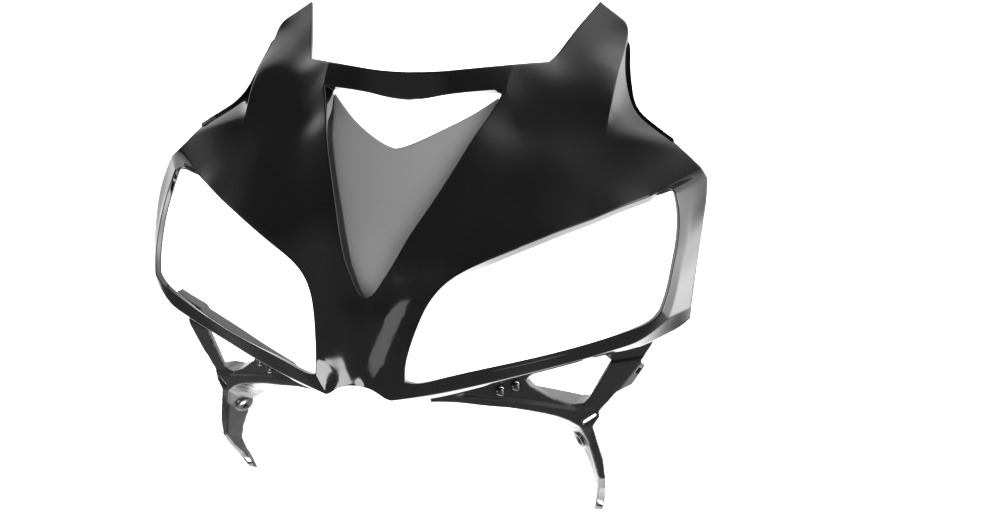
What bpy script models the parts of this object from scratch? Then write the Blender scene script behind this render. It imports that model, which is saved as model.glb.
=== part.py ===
"""Upper front fairing of a sports motorcycle, with its duct floor and its two lower brackets.

Every length is in millimetres, and MM turns it into Blender's metres. The working frame has its
origin at the middle of the chin's edge, +X to the rider's left as seen from the front, +Y to the
rear and +Z up. The finished part is moved so that its own box is centred on the origin.
"""

import math

import bmesh
import bpy
import numpy as np
from mathutils import Matrix, Vector

MM = 0.001

# Driving sizes
WALL = 3.0
PANEL_WALL = 2.5
BRACKET_WALL = 3.0
FIT_GAP = 0.5
LEDGE_GAP = 0.9
WING_STEP = 13.0
WING_STEP_WIDTH = 6.0
LEAN = math.radians(45)
PANEL_CROWN = 0.002
PANEL_TUCK = 2.6
PANEL_TUCK_DIP = 1.7
PANEL_MIDDLE = 177.0
PANEL_TOP_SHARE = 0.85
PANEL_SAG_POWER = 1.45
BRACKET_SLOPE = 0.43
BOSS_RADIUS = 6.6
BOSS_HOLE_RADIUS = 3.4
BOSS_HEIGHT = 2.0
BOSS_SINK = 1.0
BOSS_ALONG_LEG = 0.4
BOSS_REACH_SHARE = 0.7
TAB_HOLE_WIDTH = 4.5
TAB_HOLE_HEIGHT = 6.0
CLIP_SLOT_LENGTH = 6.0
CLIP_SLOT_WIDTH = 2.2
RELIEF_WIDTH = 2.4
SLOT_DEPTH = 10.0
HOLE_DEPTH = 20.0
RIVET_OFF_WINDOW = 6.5
RIVET_SPACING = 10.5
RIVET_UP_BEAM = {"inner": 0.5, "outer": 0.6}
RIVET_HEAD_RADIUS = 3.4
RIVET_HEAD_HEIGHT = 2.2
RIVET_SHANK_RADIUS = 1.8
RIVET_LENGTH = 9.0
RIVET_TIP = 1.2

# Segments along the named edges of one half
SPINE_STEPS = 7
DUCT_SIDE_STEPS = 10
BAR_END_STEPS = 2
BAR_SHOULDER_STEPS = 2
ARCH_STEPS = 5
CHIN_STEPS = 2
WING_BASE_STEPS = ARCH_STEPS + CHIN_STEPS
WING_STEPS = 10
SHOULDER_STEPS = 4
FOOT_STEPS = 2
FACET_STEPS = CHIN_STEPS + FOOT_STEPS
CORNER_STEPS = 4
FLANK_STEPS = 8
LAMP_LOW_STEPS = 18
BAR_STEPS = 8
LIP_STEPS = 1
RETURN_STEPS = 1
PANEL_STEPS = 6
LEDGE_STEPS = 14
BEAM_STEPS = 12
BOSS_SIDES = 24
HOLE_SIDES = 20
RIVET_HOLE_SIDES = 12
RIVET_SIDES = 16
RIVET_DOME_STEPS = 3

# Corners of the skin
CHIN_MIDDLE = (0.0, 0.0, 0.5)
CHIN_CORNER = (25.0, 1.5, -9.0)
DUCT_TIP = (0.0, 27.5, 57.0)
DUCT_CORNER = (74.3, 142.0, 187.0)
BAR_CORNER = (76.0, 158.0, 202.0)
WING_ROOT = (99.0, 173.0, 201.5)
WING_TIP = (124.5, 234.0, 238.0)
WING_SHOULDER = (150.3, 219.0, 217.5)
LAMP_INNER_CORNER = (35.0, 7.0, 4.0)
LAMP_CROWN = (150.0, 97.0, 103.0)
FACET_START = (186.0, 126.0, 113.5)
FACET_TOP = (218.5, 154.5, 128.5)
FLANK_TOP = (224.0, 149.0, 122.5)
LAMP_OUTER_CORNER = (205.0, 122.0, 118.0)
LAMP_LOW_CORNER = (204.5, 75.0, 45.0)
BAR_FOOT = (208.0, 80.5, 37.5)
FLANK_FOOT = (221.5, 98.5, 41.0)
LIP_FOOT = (221.0, 97.0, 32.5)
REAR_CORNER = (196.7, 158.0, 146.5)

# Edges between those corners, drawn as smooth curves
SPINE = [CHIN_MIDDLE, (0.0, 6.5, 15.0), (0.0, 13.5, 30.0), (0.0, 20.5, 44.0), DUCT_TIP]
DUCT_SIDE = [
    DUCT_TIP, (5.0, 28.0, 59.0), (10.0, 31.5, 66.5), (17.5, 37.0, 78.5), (26.0, 48.0, 95.5),
    (37.7, 69.0, 116.0), (50.3, 91.0, 139.5), (60.8, 112.0, 160.5), DUCT_CORNER,
]
BAR_END = [DUCT_CORNER, BAR_CORNER]
BAR_SHOULDER = [BAR_CORNER, (88.0, 165.0, 202.0), WING_ROOT]
BAR_TOP = [(0.0, 133.0, 199.5), (22.0, 136.5, 199.8), (44.0, 144.0, 200.8), BAR_CORNER]
BAR_BOTTOM = [(0.0, 129.5, 178.5), (15.0, 130.0, 180.0), (30.0, 131.5, 182.8),
              (56.0, 136.5, 185.5), DUCT_CORNER]
ARCH = [CHIN_MIDDLE, (7.0, -0.5, 0.2), (15.0, -0.5, -2.6), (21.0, 0.5, -7.2), CHIN_CORNER]
LAMP_TOP = [
    LAMP_INNER_CORNER, (34.8, 9.0, 13.0), (36.5, 14.5, 25.0), (43.0, 28.0, 47.5),
    (50.7, 38.0, 61.0), (63.0, 46.5, 71.5), (93.0, 60.0, 85.5), (128.6, 81.5, 97.5), LAMP_CROWN,
]
LAMP_CROWN_EDGE = [LAMP_CROWN, (168.0, 110.5, 109.0), FACET_START]
LAMP_CORNER = [FACET_START, (194.0, 128.5, 117.0), (201.0, 127.0, 119.5), LAMP_OUTER_CORNER]
LAMP_SIDE = [LAMP_OUTER_CORNER, (208.5, 117.0, 106.0), (210.4, 104.5, 88.0),
             (209.4, 92.5, 72.0), (207.6, 82.5, 56.5), LAMP_LOW_CORNER]
LAMP_LOW = [
    LAMP_LOW_CORNER, (199.0, 73.0, 38.5), (186.0, 68.5, 32.5), (161.8, 57.5, 26.0),
    (141.9, 48.4, 21.5), (119.6, 37.5, 17.5), (91.0, 26.0, 12.5), (60.0, 15.0, 6.0),
    (42.0, 9.0, 2.5), LAMP_INNER_CORNER,
]
WING_INNER = [WING_ROOT, (102.3, 180.5, 204.5), (107.5, 193.8, 213.0), (113.7, 209.0, 223.0),
              WING_TIP]
WING_TOP = [WING_TIP, (133.0, 230.5, 232.5), (142.0, 226.5, 227.0), (147.8, 223.0, 222.8),
            WING_SHOULDER]
WING_CREASE = [LAMP_CROWN, (149.0, 122.0, 131.5), (149.4, 146.5, 157.7), (150.5, 160.0, 174.0),
               (150.9, 181.0, 193.0), WING_SHOULDER]
FACET_EDGE = [FACET_START, (202.0, 140.5, 121.0), FACET_TOP]
WING_REAR = [WING_SHOULDER, (153.2, 203.0, 198.8), (157.5, 187.5, 182.3), (165.6, 173.0, 166.8),
             (179.4, 164.0, 157.0), REAR_CORNER]
SHOULDER_REAR = [FACET_TOP, (212.0, 156.0, 134.0), REAR_CORNER]
FLANK_REAR = [FLANK_TOP, (225.2, 138.0, 111.0), (225.0, 125.5, 96.5), (223.5, 110.5, 70.5),
              FLANK_FOOT]
CHIN_EDGE = [
    CHIN_CORNER, (50.0, 10.0, -5.0), (62.0, 14.0, -3.0), (94.0, 25.0, 3.5), (116.0, 33.5, 8.8),
    (143.0, 46.0, 15.0), (170.0, 57.5, 21.0), (190.0, 67.5, 25.0), BAR_FOOT,
]
LIP_ARCH = [(0.0, 8.0, 2.0), (15.0, 8.5, -2.0), (27.0, 10.0, -13.0)]
LIP_EDGE = [
    LIP_ARCH[-1], (50.0, 17.5, -12.0), (62.0, 21.0, -10.0), (94.0, 32.0, -3.5),
    (122.0, 43.5, 3.5), (143.0, 53.0, 8.5), (170.0, 65.5, 14.5), (190.0, 76.0, 18.5),
    (207.0, 86.5, 23.5),
]
LIP_END = [LIP_EDGE[-1], (215.0, 92.0, 27.5), LIP_FOOT]
CHEEK = [(90.0, 88.0, 118.0), (118.0, 117.0, 140.0), (88.6, 149.0, 184.0), (80.0, 129.5, 164.5),
         (176.0, 136.0, 133.5), (122.0, 158.0, 180.0)]

# How far the return flanges reach behind the edges, at stations from one end to the other
LAMP_RETURN = [(-1.0, 6.5, -1.0), (-2.0, 7.5, -2.0), (-2.5, 7.0, -5.0), (-1.2, 5.5, -7.0),
               (-1.0, 5.5, -7.0), (-1.5, 5.5, -6.5)]
LAMP_CROWN_RETURN = [(-1.5, 5.5, -6.5), (-1.5, 5.5, -6.5)]
LAMP_CORNER_RETURN = [(-1.5, 5.5, -6.5), (-3.0, 5.0, -4.0), (-3.2, 4.8, 0.0)]
LAMP_SIDE_RETURN = [(-3.2, 4.8, 0.0), (-3.2, 4.8, 0.0)]
LAMP_LOW_RETURN = [(-3.2, 4.8, 0.0), (-2.0, 5.5, -2.0), (-1.5, 5.5, -2.2), (-1.0, 6.5, -1.0)]
DUCT_RETURN = [(0.0, 7.2, -3.4), (-2.0, 7.0, -3.5), (-2.0, 5.0, -3.5), (-2.0, 5.0, -3.5),
               (-6.0, 5.0, -6.0)]
BAR_RETURN = [(0.0, 7.5, 0.0), (0.0, 7.0, -1.0), (0.0, 6.5, -2.0), (-6.0, 5.0, -6.0)]

# Bracket outlines, as (x, z) on its upright front face
BRACKET_FACE_POINT = (95.0, 45.0)
BEAM_BOTTOM = [(46.0, -18.4), (63.0, -20.3), (84.0, -25.0), (96.0, -27.2), (121.5, -34.2),
               (136.2, -40.3), (145.0, -47.0)]
ARM_OUTER = [(154.0, -48.0), (159.0, -40.5), (158.4, -36.5), (164.2, -30.0), (170.0, -23.0),
             (187.0, 0.0), (194.0, 11.5)]
WINDOW = [(109.5, -7.0), (112.5, -12.5), (128.0, -24.3), (139.5, -29.8), (147.0, -29.6),
          (150.8, -25.5), (158.5, -12.5), (166.0, 1.0), (162.0, 6.5), (140.0, 2.0), (116.0, -2.5)]
WINDOW_REACH = [(0.0, 6.0, 0.0), (1.0, 10.0, -3.0), (2.0, 22.0, -2.5), (2.0, 26.0, -2.8),
                (1.0, 20.0, -1.2), (0.0, 12.0, 0.0), (0.0, 12.0, 1.8), (0.0, 12.0, 1.8),
                (0.0, 12.0, 1.8), (0.0, 12.0, 1.8), (0.0, 8.0, 1.8)]
LEDGE_ENDS = (46.0, 197.0)
RELIEF_ENDS = [(147.5, -44.6), (156.5, -38.7)]

# The clip that is bent back from the arm's outer edge, between two of its points, and its slot's
# place as shares of the way out and up
CLIP_EDGE = slice(4, 6)
CLIP_REACH = [(9.8, 9.0, 3.2), (1.9, 5.0, -5.4)]
CLIP_SLOT_PLACE = (0.5, 0.72)

# Bracket leg: its inner and outer front lines, from the beam down to the end tab
LEG_INNER = [(149.8, 71.6, -62.0), (153.5, 72.6, -77.0), (156.4, 74.4, -92.0),
             (154.6, 81.0, -104.0), (150.7, 89.2, -115.5)]
LEG_OUTER = [(156.5, 71.4, -60.0), (160.2, 73.2, -76.0), (161.2, 75.0, -92.0),
             (159.8, 81.0, -104.0), (157.6, 88.0, -115.0)]
TAB_REACH = (-4.5, 8.0, -17.0)

# How far the rear flange under the beam and down the leg reaches behind those lines
BEAM_REACH = [(0.0, 8.0, -1.0), (0.0, 10.0, -2.0), (1.0, 18.0, -5.0), (2.0, 25.0, -9.0),
              (-3.0, 27.0, -15.0), (-5.0, 22.0, -18.0), (-7.0, 19.0, -18.5)]
LEG_REACH = [(-8.3, 15.2, -13.0), (-6.9, 13.2, -10.0), (-6.4, 12.4, -7.5), (-5.0, 10.0, -6.5),
             (-2.5, 6.5, -4.5), (0.0, 2.0, -0.5)]


def smooth_curve(points, count):
    """Samples a natural cubic spline through the points at equal steps along its length."""
    points = np.asarray(points, float)
    if len(points) == 2:
        return points[0] + np.linspace(0, 1, count + 1)[:, None] * (points[1] - points[0])
    steps = np.linalg.norm(np.diff(points, axis=0), axis=1) ** 0.5
    knots = np.concatenate([[0], np.cumsum(steps)])
    matrix = np.zeros((len(points), len(points)))
    target = np.zeros_like(points)
    matrix[0, 0] = matrix[-1, -1] = 1
    slope = np.diff(points, axis=0) / steps[:, None]
    for i in range(1, len(points) - 1):
        matrix[i, i - 1:i + 2] = steps[i - 1], 2 * (steps[i - 1] + steps[i]), steps[i]
        target[i] = 6 * (slope[i] - slope[i - 1])
    bend = np.linalg.solve(matrix, target)

    def at(place):
        i = np.clip(np.searchsorted(knots, place, side="right") - 1, 0, len(steps) - 1)
        step, past, left = steps[i][:, None], (place - knots[i])[:, None], (knots[i + 1] - place)[:, None]
        cubic = (bend[i] * left**3 + bend[i + 1] * past**3) / (6 * step)
        return (cubic + (points[i] / step - bend[i] * step / 6) * left
                + (points[i + 1] / step - bend[i + 1] * step / 6) * past)

    fine = np.linspace(0, knots[-1], 60 * len(points))
    run = np.concatenate([[0], np.cumsum(np.linalg.norm(np.diff(at(fine), axis=0), axis=1))])
    curve = at(np.interp(np.linspace(0, run[-1], count + 1), run, fine))
    curve[0], curve[-1] = points[0], points[-1]
    return curve


def joined(*runs):
    """Joins sampled curves end to end, with each shared corner kept once."""
    return np.concatenate([runs[0]] + [run[1:] for run in runs[1:]])


def leaning(points):
    """Turns points into (x, distance up the leaning plane, height above it)."""
    x, y, z = np.moveaxis(np.asarray(points, float), -1, 0)
    return np.stack([x, y * math.cos(LEAN) + z * math.sin(LEAN),
                     z * math.cos(LEAN) - y * math.sin(LEAN)], axis=-1)


def upright(x, up, height):
    """Turns leaning coordinates back into (x, y, z)."""
    return np.stack([x, up * math.cos(LEAN) - height * math.sin(LEAN),
                     up * math.sin(LEAN) + height * math.cos(LEAN)], axis=-1)


def wing_drop(x, up):
    """How far the skin outside the wing's crease lies below the wing, fading out down the shoulder."""
    crease = leaning(WING_CREASE)
    edge = np.interp(up, crease[:, 1], crease[:, 0])
    foot, full = crease[2, 1] - 8.0, crease[3, 1] + 12.0
    fade = np.clip((up - foot) / (full - foot), 0, 1)
    depth = WING_STEP * fade * fade * (3 - 2 * fade)
    return depth * (1 - np.exp(-np.maximum(x - edge, 0) / WING_STEP_WIDTH))


def thin_plate(offsets):
    """The bending of a thin plate around one point."""
    squared = (offsets**2).sum(axis=-1)
    return 0.5 * squared * np.log(squared + 1e-9)


def skin_of(form_points):
    """Returns the skin's height as a function of (x, up): a thin plate bent through the form points."""
    known = leaning(form_points)
    known[:, 2] += wing_drop(known[:, 0], known[:, 1])
    off_middle = known[known[:, 0] > 0.01]
    known = np.concatenate([known, off_middle * (-1, 1, 1)])
    places, heights = known[:, :2] / 100, known[:, 2]
    count = len(places)
    system = np.zeros((count + 3, count + 3))
    system[:count, :count] = thin_plate(places[:, None] - places[None]) + np.eye(count) * 2e-3
    system[:count, count:] = np.column_stack([np.ones(count), places])
    system[count:, :count] = system[:count, count:].T
    weights = np.linalg.solve(system, np.concatenate([heights, [0, 0, 0]]))

    def height(x, up):
        at = np.stack([x, up], axis=-1) / 100
        plate = thin_plate(at[..., None, :] - places) @ weights[:count]
        return plate + weights[count] + at @ weights[count + 1:] - wing_drop(x, up)

    return height


SKIN_HEIGHT = skin_of(list(dict.fromkeys(
    SPINE + DUCT_SIDE + BAR_END + BAR_SHOULDER + ARCH + LAMP_TOP + LAMP_CROWN_EDGE + WING_INNER
    + WING_TOP + WING_CREASE + FACET_EDGE + WING_REAR[1:] + SHOULDER_REAR[1:-1] + CHEEK
)))


def laid_on_skin(points):
    """Moves points square to the leaning plane until they lie in the skin."""
    flat = leaning(points)
    return upright(flat[..., 0], flat[..., 1], SKIN_HEIGHT(flat[..., 0], flat[..., 1]))


def skin_curve(points, count):
    """A smooth curve through the points, laid on the skin."""
    return laid_on_skin(smooth_curve(points, count))


def patch(low, high, start, end):
    """Fills four curves: low and high run one way, start and end run from low to high."""
    along = np.linspace(0, 1, len(low))[:, None, None]
    across = np.linspace(0, 1, len(start))[None, :, None]
    between = low[:, None] * (1 - across) + high[:, None] * across
    beside = start[None] * (1 - along) + end[None] * along
    corners = (low[0] * (1 - along) * (1 - across) + low[-1] * along * (1 - across)
               + high[0] * (1 - along) * across + high[-1] * along * across)
    return between + beside - corners


def skin_patch(low, high, start, end):
    """A patch whose inside points are laid on the skin."""
    grid = patch(low, high, start, end)
    grid[1:-1, 1:-1] = laid_on_skin(grid)[1:-1, 1:-1]
    return grid


def ribbon(edge, far_edge, steps=1):
    """A strip from one edge straight to another of as many points."""
    share = np.linspace(0, 1, steps + 1)[:, None, None]
    return edge[None] * (1 - share) + far_edge[None] * share


def reach_along(stations, count):
    """Spreads a flange's reach evenly over the points of its edge."""
    stations = np.asarray(stations)
    places = np.linspace(0, len(stations) - 1, count + 1)
    return np.stack([np.interp(places, range(len(stations)), part) for part in stations.T], axis=1)


def edge_curves():
    """Every named edge of one half of the cowl, as sampled points with shared corners."""
    edges = {
        "spine": skin_curve(SPINE, SPINE_STEPS),
        "duct_side": skin_curve(DUCT_SIDE, DUCT_SIDE_STEPS),
        "bar_end": skin_curve(BAR_END, BAR_END_STEPS),
        "bar_shoulder": skin_curve(BAR_SHOULDER, BAR_SHOULDER_STEPS),
        "arch": skin_curve(ARCH, ARCH_STEPS),
        "chin": skin_curve([CHIN_CORNER, LAMP_INNER_CORNER], CHIN_STEPS),
        "lamp_top": skin_curve(
            LAMP_TOP, SPINE_STEPS + DUCT_SIDE_STEPS + BAR_END_STEPS + BAR_SHOULDER_STEPS),
        "wing_base": skin_curve([WING_ROOT, LAMP_CROWN], WING_BASE_STEPS),
        "wing_inner": skin_curve(WING_INNER, WING_STEPS),
        "wing_top": skin_curve(WING_TOP, WING_BASE_STEPS),
        "wing_crease": skin_curve(WING_CREASE, WING_STEPS),
        "lamp_crown": skin_curve(LAMP_CROWN_EDGE, SHOULDER_STEPS),
        "facet_edge": skin_curve(FACET_EDGE, FACET_STEPS),
        "wing_rear": skin_curve(WING_REAR, SHOULDER_STEPS + FACET_STEPS),
        "shoulder_rear": skin_curve(SHOULDER_REAR, WING_STEPS),
        "flank_top": smooth_curve([LAMP_OUTER_CORNER, FLANK_TOP], FACET_STEPS),
        "lamp_side": smooth_curve(LAMP_SIDE, FLANK_STEPS),
        "flank_rear": smooth_curve(FLANK_REAR, FLANK_STEPS),
        "bar_foot": smooth_curve([LAMP_LOW_CORNER, BAR_FOOT], CHIN_STEPS),
        "flank_foot": smooth_curve([BAR_FOOT, FLANK_FOOT], FOOT_STEPS),
        "lip_arch": smooth_curve(LIP_ARCH, ARCH_STEPS),
        "lip_edge": smooth_curve(LIP_EDGE, LAMP_LOW_STEPS),
        "lip_end": smooth_curve(LIP_END, FOOT_STEPS),
        "bar_middle": smooth_curve([BAR_BOTTOM[0], BAR_TOP[0]], BAR_END_STEPS),
    }
    lamp_inner, facet_start = edges["chin"][-1], edges["facet_edge"][0]
    edges["facet_rear"] = smooth_curve([edges["facet_edge"][-1], FLANK_TOP], CORNER_STEPS)
    edges["lamp_corner"] = smooth_curve([facet_start, *LAMP_CORNER[1:]], CORNER_STEPS)
    edges["lamp_low"] = smooth_curve([*LAMP_LOW[:-1], lamp_inner], LAMP_LOW_STEPS)
    edges["chin_edge"] = smooth_curve([edges["chin"][0], *CHIN_EDGE[1:]], LAMP_LOW_STEPS)
    edges["bar_top"] = smooth_curve([*BAR_TOP[:-1], edges["bar_end"][-1]], BAR_STEPS)
    edges["bar_bottom"] = smooth_curve([*BAR_BOTTOM[:-1], edges["bar_end"][0]], BAR_STEPS)
    return edges


def lamp_loop(edges):
    """The lamp opening's edge and the far edge of its return flange, once round."""
    runs = [("lamp_top", LAMP_RETURN), ("lamp_crown", LAMP_CROWN_RETURN),
            ("lamp_corner", LAMP_CORNER_RETURN), ("lamp_side", LAMP_SIDE_RETURN),
            ("lamp_low", LAMP_LOW_RETURN)]
    edge = joined(*(edges[name] for name, _ in runs))
    reach = joined(*(reach_along(stations, len(edges[name]) - 1) for name, stations in runs))
    return edge, edge + reach


def duct_loop(edges):
    """The duct opening's edge and the far edge of its return flange, from the bar down to the tip."""
    bar = reach_along(BAR_RETURN, BAR_STEPS)
    side = reach_along(DUCT_RETURN, DUCT_SIDE_STEPS)
    edge = joined(edges["bar_bottom"], edges["duct_side"][::-1])
    return edge, edge + joined(bar, side[::-1])


def cowl_grids():
    """The outer faces of one half of the cowl, as grids that share the points of their edges."""
    edges = edge_curves()
    up_the_middle = joined(*(edges[name] for name in ("spine", "duct_side", "bar_end", "bar_shoulder")))
    lamp_rim = joined(edges["lamp_crown"], edges["facet_edge"])
    lip_top = joined(edges["arch"], edges["chin_edge"], edges["flank_foot"])
    lip_bottom = joined(edges["lip_arch"], edges["lip_edge"], edges["lip_end"])
    return [
        skin_patch(joined(edges["arch"], edges["chin"]), edges["wing_base"], up_the_middle,
                   edges["lamp_top"]),
        skin_patch(edges["wing_base"], edges["wing_top"], edges["wing_inner"], edges["wing_crease"]),
        skin_patch(lamp_rim, edges["wing_rear"], edges["wing_crease"], edges["shoulder_rear"]),
        patch(edges["lamp_corner"], edges["facet_rear"], edges["facet_edge"], edges["flank_top"]),
        patch(joined(edges["bar_foot"], edges["flank_foot"]), edges["flank_top"],
              edges["lamp_side"][::-1], edges["flank_rear"][::-1]),
        patch(edges["chin_edge"], edges["lamp_low"][::-1], edges["chin"], edges["bar_foot"][::-1]),
        patch(edges["bar_bottom"], edges["bar_top"], edges["bar_middle"], edges["bar_end"]),
        np.swapaxes(ribbon(lip_bottom, lip_top, LIP_STEPS), 0, 1),
        ribbon(*lamp_loop(edges), RETURN_STEPS),
        ribbon(*duct_loop(edges), RETURN_STEPS),
    ]


def panel_grid():
    """The top face of one half of the duct floor, behind the end of the duct's return flange."""
    side = skin_curve(DUCT_SIDE, DUCT_SIDE_STEPS)
    reach = reach_along(DUCT_RETURN, DUCT_SIDE_STEPS)
    length = np.linalg.norm(reach, axis=1, keepdims=True)
    rim = leaning(side + reach * (1 + FIT_GAP / length))
    rim[-1] = rim[-2] + PANEL_TOP_SHARE * (rim[-1] - rim[-2])
    out = np.gradient(rim[:, :2], axis=0)[:, ::-1] * (1, -1)
    out /= np.linalg.norm(out, axis=1, keepdims=True)
    share = np.linspace(0, 1, PANEL_STEPS + 1)
    sag = (rim[-1, 1] - PANEL_MIDDLE) * np.linspace(0, 1, len(rim))
    x = share[:, None] * rim[:, 0]
    up = rim[:, 1] - sag * (1 - share[:, None] ** PANEL_SAG_POWER)
    width, level = (np.interp(up, rim[:, 1], rim[:, part]) for part in (0, 2))
    top = upright(x, up, level + PANEL_CROWN * (width**2 - x**2))
    tuck = upright(*(rim[:, :2] + PANEL_TUCK * out).T, rim[:, 2] - PANEL_TUCK_DIP)
    return np.concatenate([top, tuck[None]])


def on_bracket_face(outline):
    """Places (x, z) points on the bracket's upright front face."""
    x, z = np.asarray(outline, float).T
    return np.stack([x, BRACKET_FACE_POINT[1] + BRACKET_SLOPE * (x - BRACKET_FACE_POINT[0]), z], axis=1)


def ledge_edges():
    """The top of the bracket's front face and the front of its ledge, which seats behind the lip."""
    lip = smooth_curve(LIP_EDGE, 10 * LEDGE_STEPS)
    x = np.linspace(*LEDGE_ENDS, LEDGE_STEPS + 1)
    off_lip = (WALL + LEDGE_GAP) * math.sqrt(0.5)
    y, z = (np.interp(x, lip[:, 0], lip[:, part]) + off_lip for part in (1, 2))
    return on_bracket_face(np.stack([x, z], axis=1)), np.stack([x, y, z], axis=1)


def with_tab(points):
    """Carries one of the leg's front lines on down the end tab."""
    points = np.array(points)
    return np.append(points, points[-1:] + TAB_REACH, axis=0)


def clip_grid(arm):
    """The clip's outer face, from the arm's outer edge to the clip's free edge."""
    edge = arm[CLIP_EDGE]
    return ribbon(edge, edge + CLIP_REACH)


def bracket_grids():
    """The bracket's outer faces apart from its front face, and that face's outline and window."""
    bottom = on_bracket_face(smooth_curve(BEAM_BOTTOM, BEAM_STEPS))
    arm = on_bracket_face(ARM_OUTER)
    top, ledge_front = ledge_edges()
    window = on_bracket_face(WINDOW + WINDOW[:1])[::-1]
    inner = with_tab([bottom[-1], *LEG_INNER])
    outer = with_tab([arm[0], *LEG_OUTER])
    beam_reach = reach_along(BEAM_REACH, len(bottom) - 1)
    flange_front = joined(bottom, inner)
    flange_rear = np.concatenate([bottom + beam_reach, inner[1:] + LEG_REACH])
    window_reach = np.array(WINDOW_REACH + WINDOW_REACH[:1])[::-1]
    grids = [
        np.swapaxes(ribbon(flange_rear, flange_front, 2), 0, 1),
        np.stack([inner, outer])[:, ::-1],
        ribbon(window, window + window_reach),
        np.swapaxes(ribbon(top, ledge_front), 0, 1),
        clip_grid(arm),
    ]
    outline = np.concatenate([bottom, arm, top[::-1]])
    return grids, outline, window[:-1]


def add_grid(mesh, grid):
    """Adds a grid of points as four-sided faces."""
    rows, columns = grid.shape[:2]
    verts = [mesh.verts.new(Vector(point) * MM) for point in grid.reshape(-1, 3).tolist()]
    for i in range(rows - 1):
        for j in range(columns - 1):
            corner = i * columns + j
            mesh.faces.new([verts[corner], verts[corner + columns], verts[corner + columns + 1],
                            verts[corner + 1]])


def add_plate(mesh, outline, window):
    """Adds a flat face with a window, facing the front."""
    edges = []
    for loop in (outline, window):
        verts = [mesh.verts.new(Vector(point) * MM) for point in loop.tolist()]
        edges += [mesh.edges.new(pair) for pair in zip(verts, verts[1:] + verts[:1])]
    made = bmesh.ops.triangle_fill(mesh, use_beauty=True, edges=edges)
    faces = [item for item in made["geom"] if isinstance(item, bmesh.types.BMFace)]
    for face in faces:
        face.normal_update()
        if face.normal.y > 0:
            face.normal_flip()


def finished_mesh(mesh, name):
    """Merges the points that grids share and hands the mesh over."""
    bmesh.ops.remove_doubles(mesh, verts=mesh.verts, dist=0.01 * MM)
    bmesh.ops.dissolve_degenerate(mesh, edges=mesh.edges, dist=0.001 * MM)
    data = bpy.data.meshes.new(name)
    mesh.to_mesh(data)
    mesh.free()
    return data


def add_object(name, data, material):
    """Puts a mesh into the scene with its material."""
    thing = bpy.data.objects.new(name, data)
    data.materials.append(material)
    bpy.context.scene.collection.objects.link(thing)
    return thing


def plastic(name, colour, roughness):
    """A moulded plastic."""
    material = bpy.data.materials.new(name)
    material.use_nodes = True
    shader = material.node_tree.nodes["Principled BSDF"]
    shader.inputs["Base Color"].default_value = (*colour, 1.0)
    shader.inputs["Roughness"].default_value = roughness
    shader.inputs["Metallic"].default_value = 0.0
    return material


def add_thickness(thing, wall):
    """Gives a sheet its wall, on the side that its faces turn away from."""
    solid = thing.modifiers.new("wall", "SOLIDIFY")
    solid.thickness = wall * MM
    solid.offset = -1.0
    solid.use_even_offset = True
    solid.use_quality_normals = True


def mirror_halves(thing):
    """Completes a half with its mirror image across the middle."""
    mirror = thing.modifiers.new("halves", "MIRROR")
    mirror.merge_threshold = 0.00005


def combine(thing, other, operation):
    """Joins to a piece, or cuts from it, the closed shape of a hidden helper."""
    other.hide_render = True
    other.display_type = "WIRE"
    boolean = thing.modifiers.new(other.name, "BOOLEAN")
    boolean.operation = operation
    boolean.object = other


def cylinder_mesh(name, centre, axis, radius, depth, sides):
    """A closed cylinder about a centre."""
    mesh = bmesh.new()
    turn = Vector(axis).to_track_quat("Z", "X").to_matrix().to_4x4()
    bmesh.ops.create_cone(
        mesh, cap_ends=True, segments=sides, radius1=radius * MM, radius2=radius * MM,
        depth=depth * MM, matrix=Matrix.Translation(Vector(centre) * MM) @ turn)
    return finished_mesh(mesh, name)


def block_mesh(name, centre, axes, size):
    """A closed block about a centre, along three axes."""
    mesh = bmesh.new()
    turn = Matrix([Vector(axis).normalized() for axis in axes]).transposed().to_4x4()
    bmesh.ops.create_cube(
        mesh, size=MM,
        matrix=Matrix.Translation(Vector(centre) * MM) @ turn @ Matrix.Diagonal((*size, 1.0)))
    return finished_mesh(mesh, name)


def on_side(data, side):
    """Turns a mesh made for the +X side into its mirror image for the other side."""
    if side < 0:
        data.transform(Matrix.Scale(-1.0, 4, (1.0, 0.0, 0.0)))
        data.flip_normals()
    return data


def build_cowl(material):
    """The cowl: one moulding with its wings, crossbar, lower bar and return flanges."""
    mesh = bmesh.new()
    for grid in cowl_grids():
        add_grid(mesh, grid)
    cowl = add_object("cowl", finished_mesh(mesh, "cowl"), material)
    mirror_halves(cowl)
    add_thickness(cowl, WALL)
    return cowl


def build_duct_floor(material):
    """The plain panel that closes the lower part of the duct's mouth."""
    mesh = bmesh.new()
    add_grid(mesh, panel_grid())
    panel = add_object("duct_floor", finished_mesh(mesh, "duct_floor"), material)
    mirror_halves(panel)
    add_thickness(panel, PANEL_WALL)
    return panel


def boss_frame():
    """Centre, outward normal and depth direction of the boss on the bracket's rear flange."""
    front = np.array([on_bracket_face(BEAM_BOTTOM)[-1], *LEG_INNER[:2]])
    rear = front + [BEAM_REACH[-1], *LEG_REACH[:2]]
    reach = rear[1] - front[1]
    normal = np.cross(reach, front[2] - front[0])
    normal /= np.linalg.norm(normal)
    near, far = (line[0] + BOSS_ALONG_LEG * (line[1] - line[0]) for line in (front, rear))
    return near + BOSS_REACH_SHARE * (far - near), normal


def rivet_places():
    """Where the rivets pass through the beam: on its face, inboard of the window."""
    top, _ = ledge_edges()
    bottom = on_bracket_face(smooth_curve(BEAM_BOTTOM, BEAM_STEPS))
    outer_x = WINDOW[0][0] - RIVET_OFF_WINDOW
    places = {}
    for name, x in (("outer", outer_x), ("inner", outer_x - RIVET_SPACING)):
        low, high = (np.interp(x, edge[:, 0], edge[:, 2]) for edge in (bottom, top))
        places[name] = on_bracket_face([(x, low + RIVET_UP_BEAM[name] * (high - low))])[0]
    return places


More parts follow.
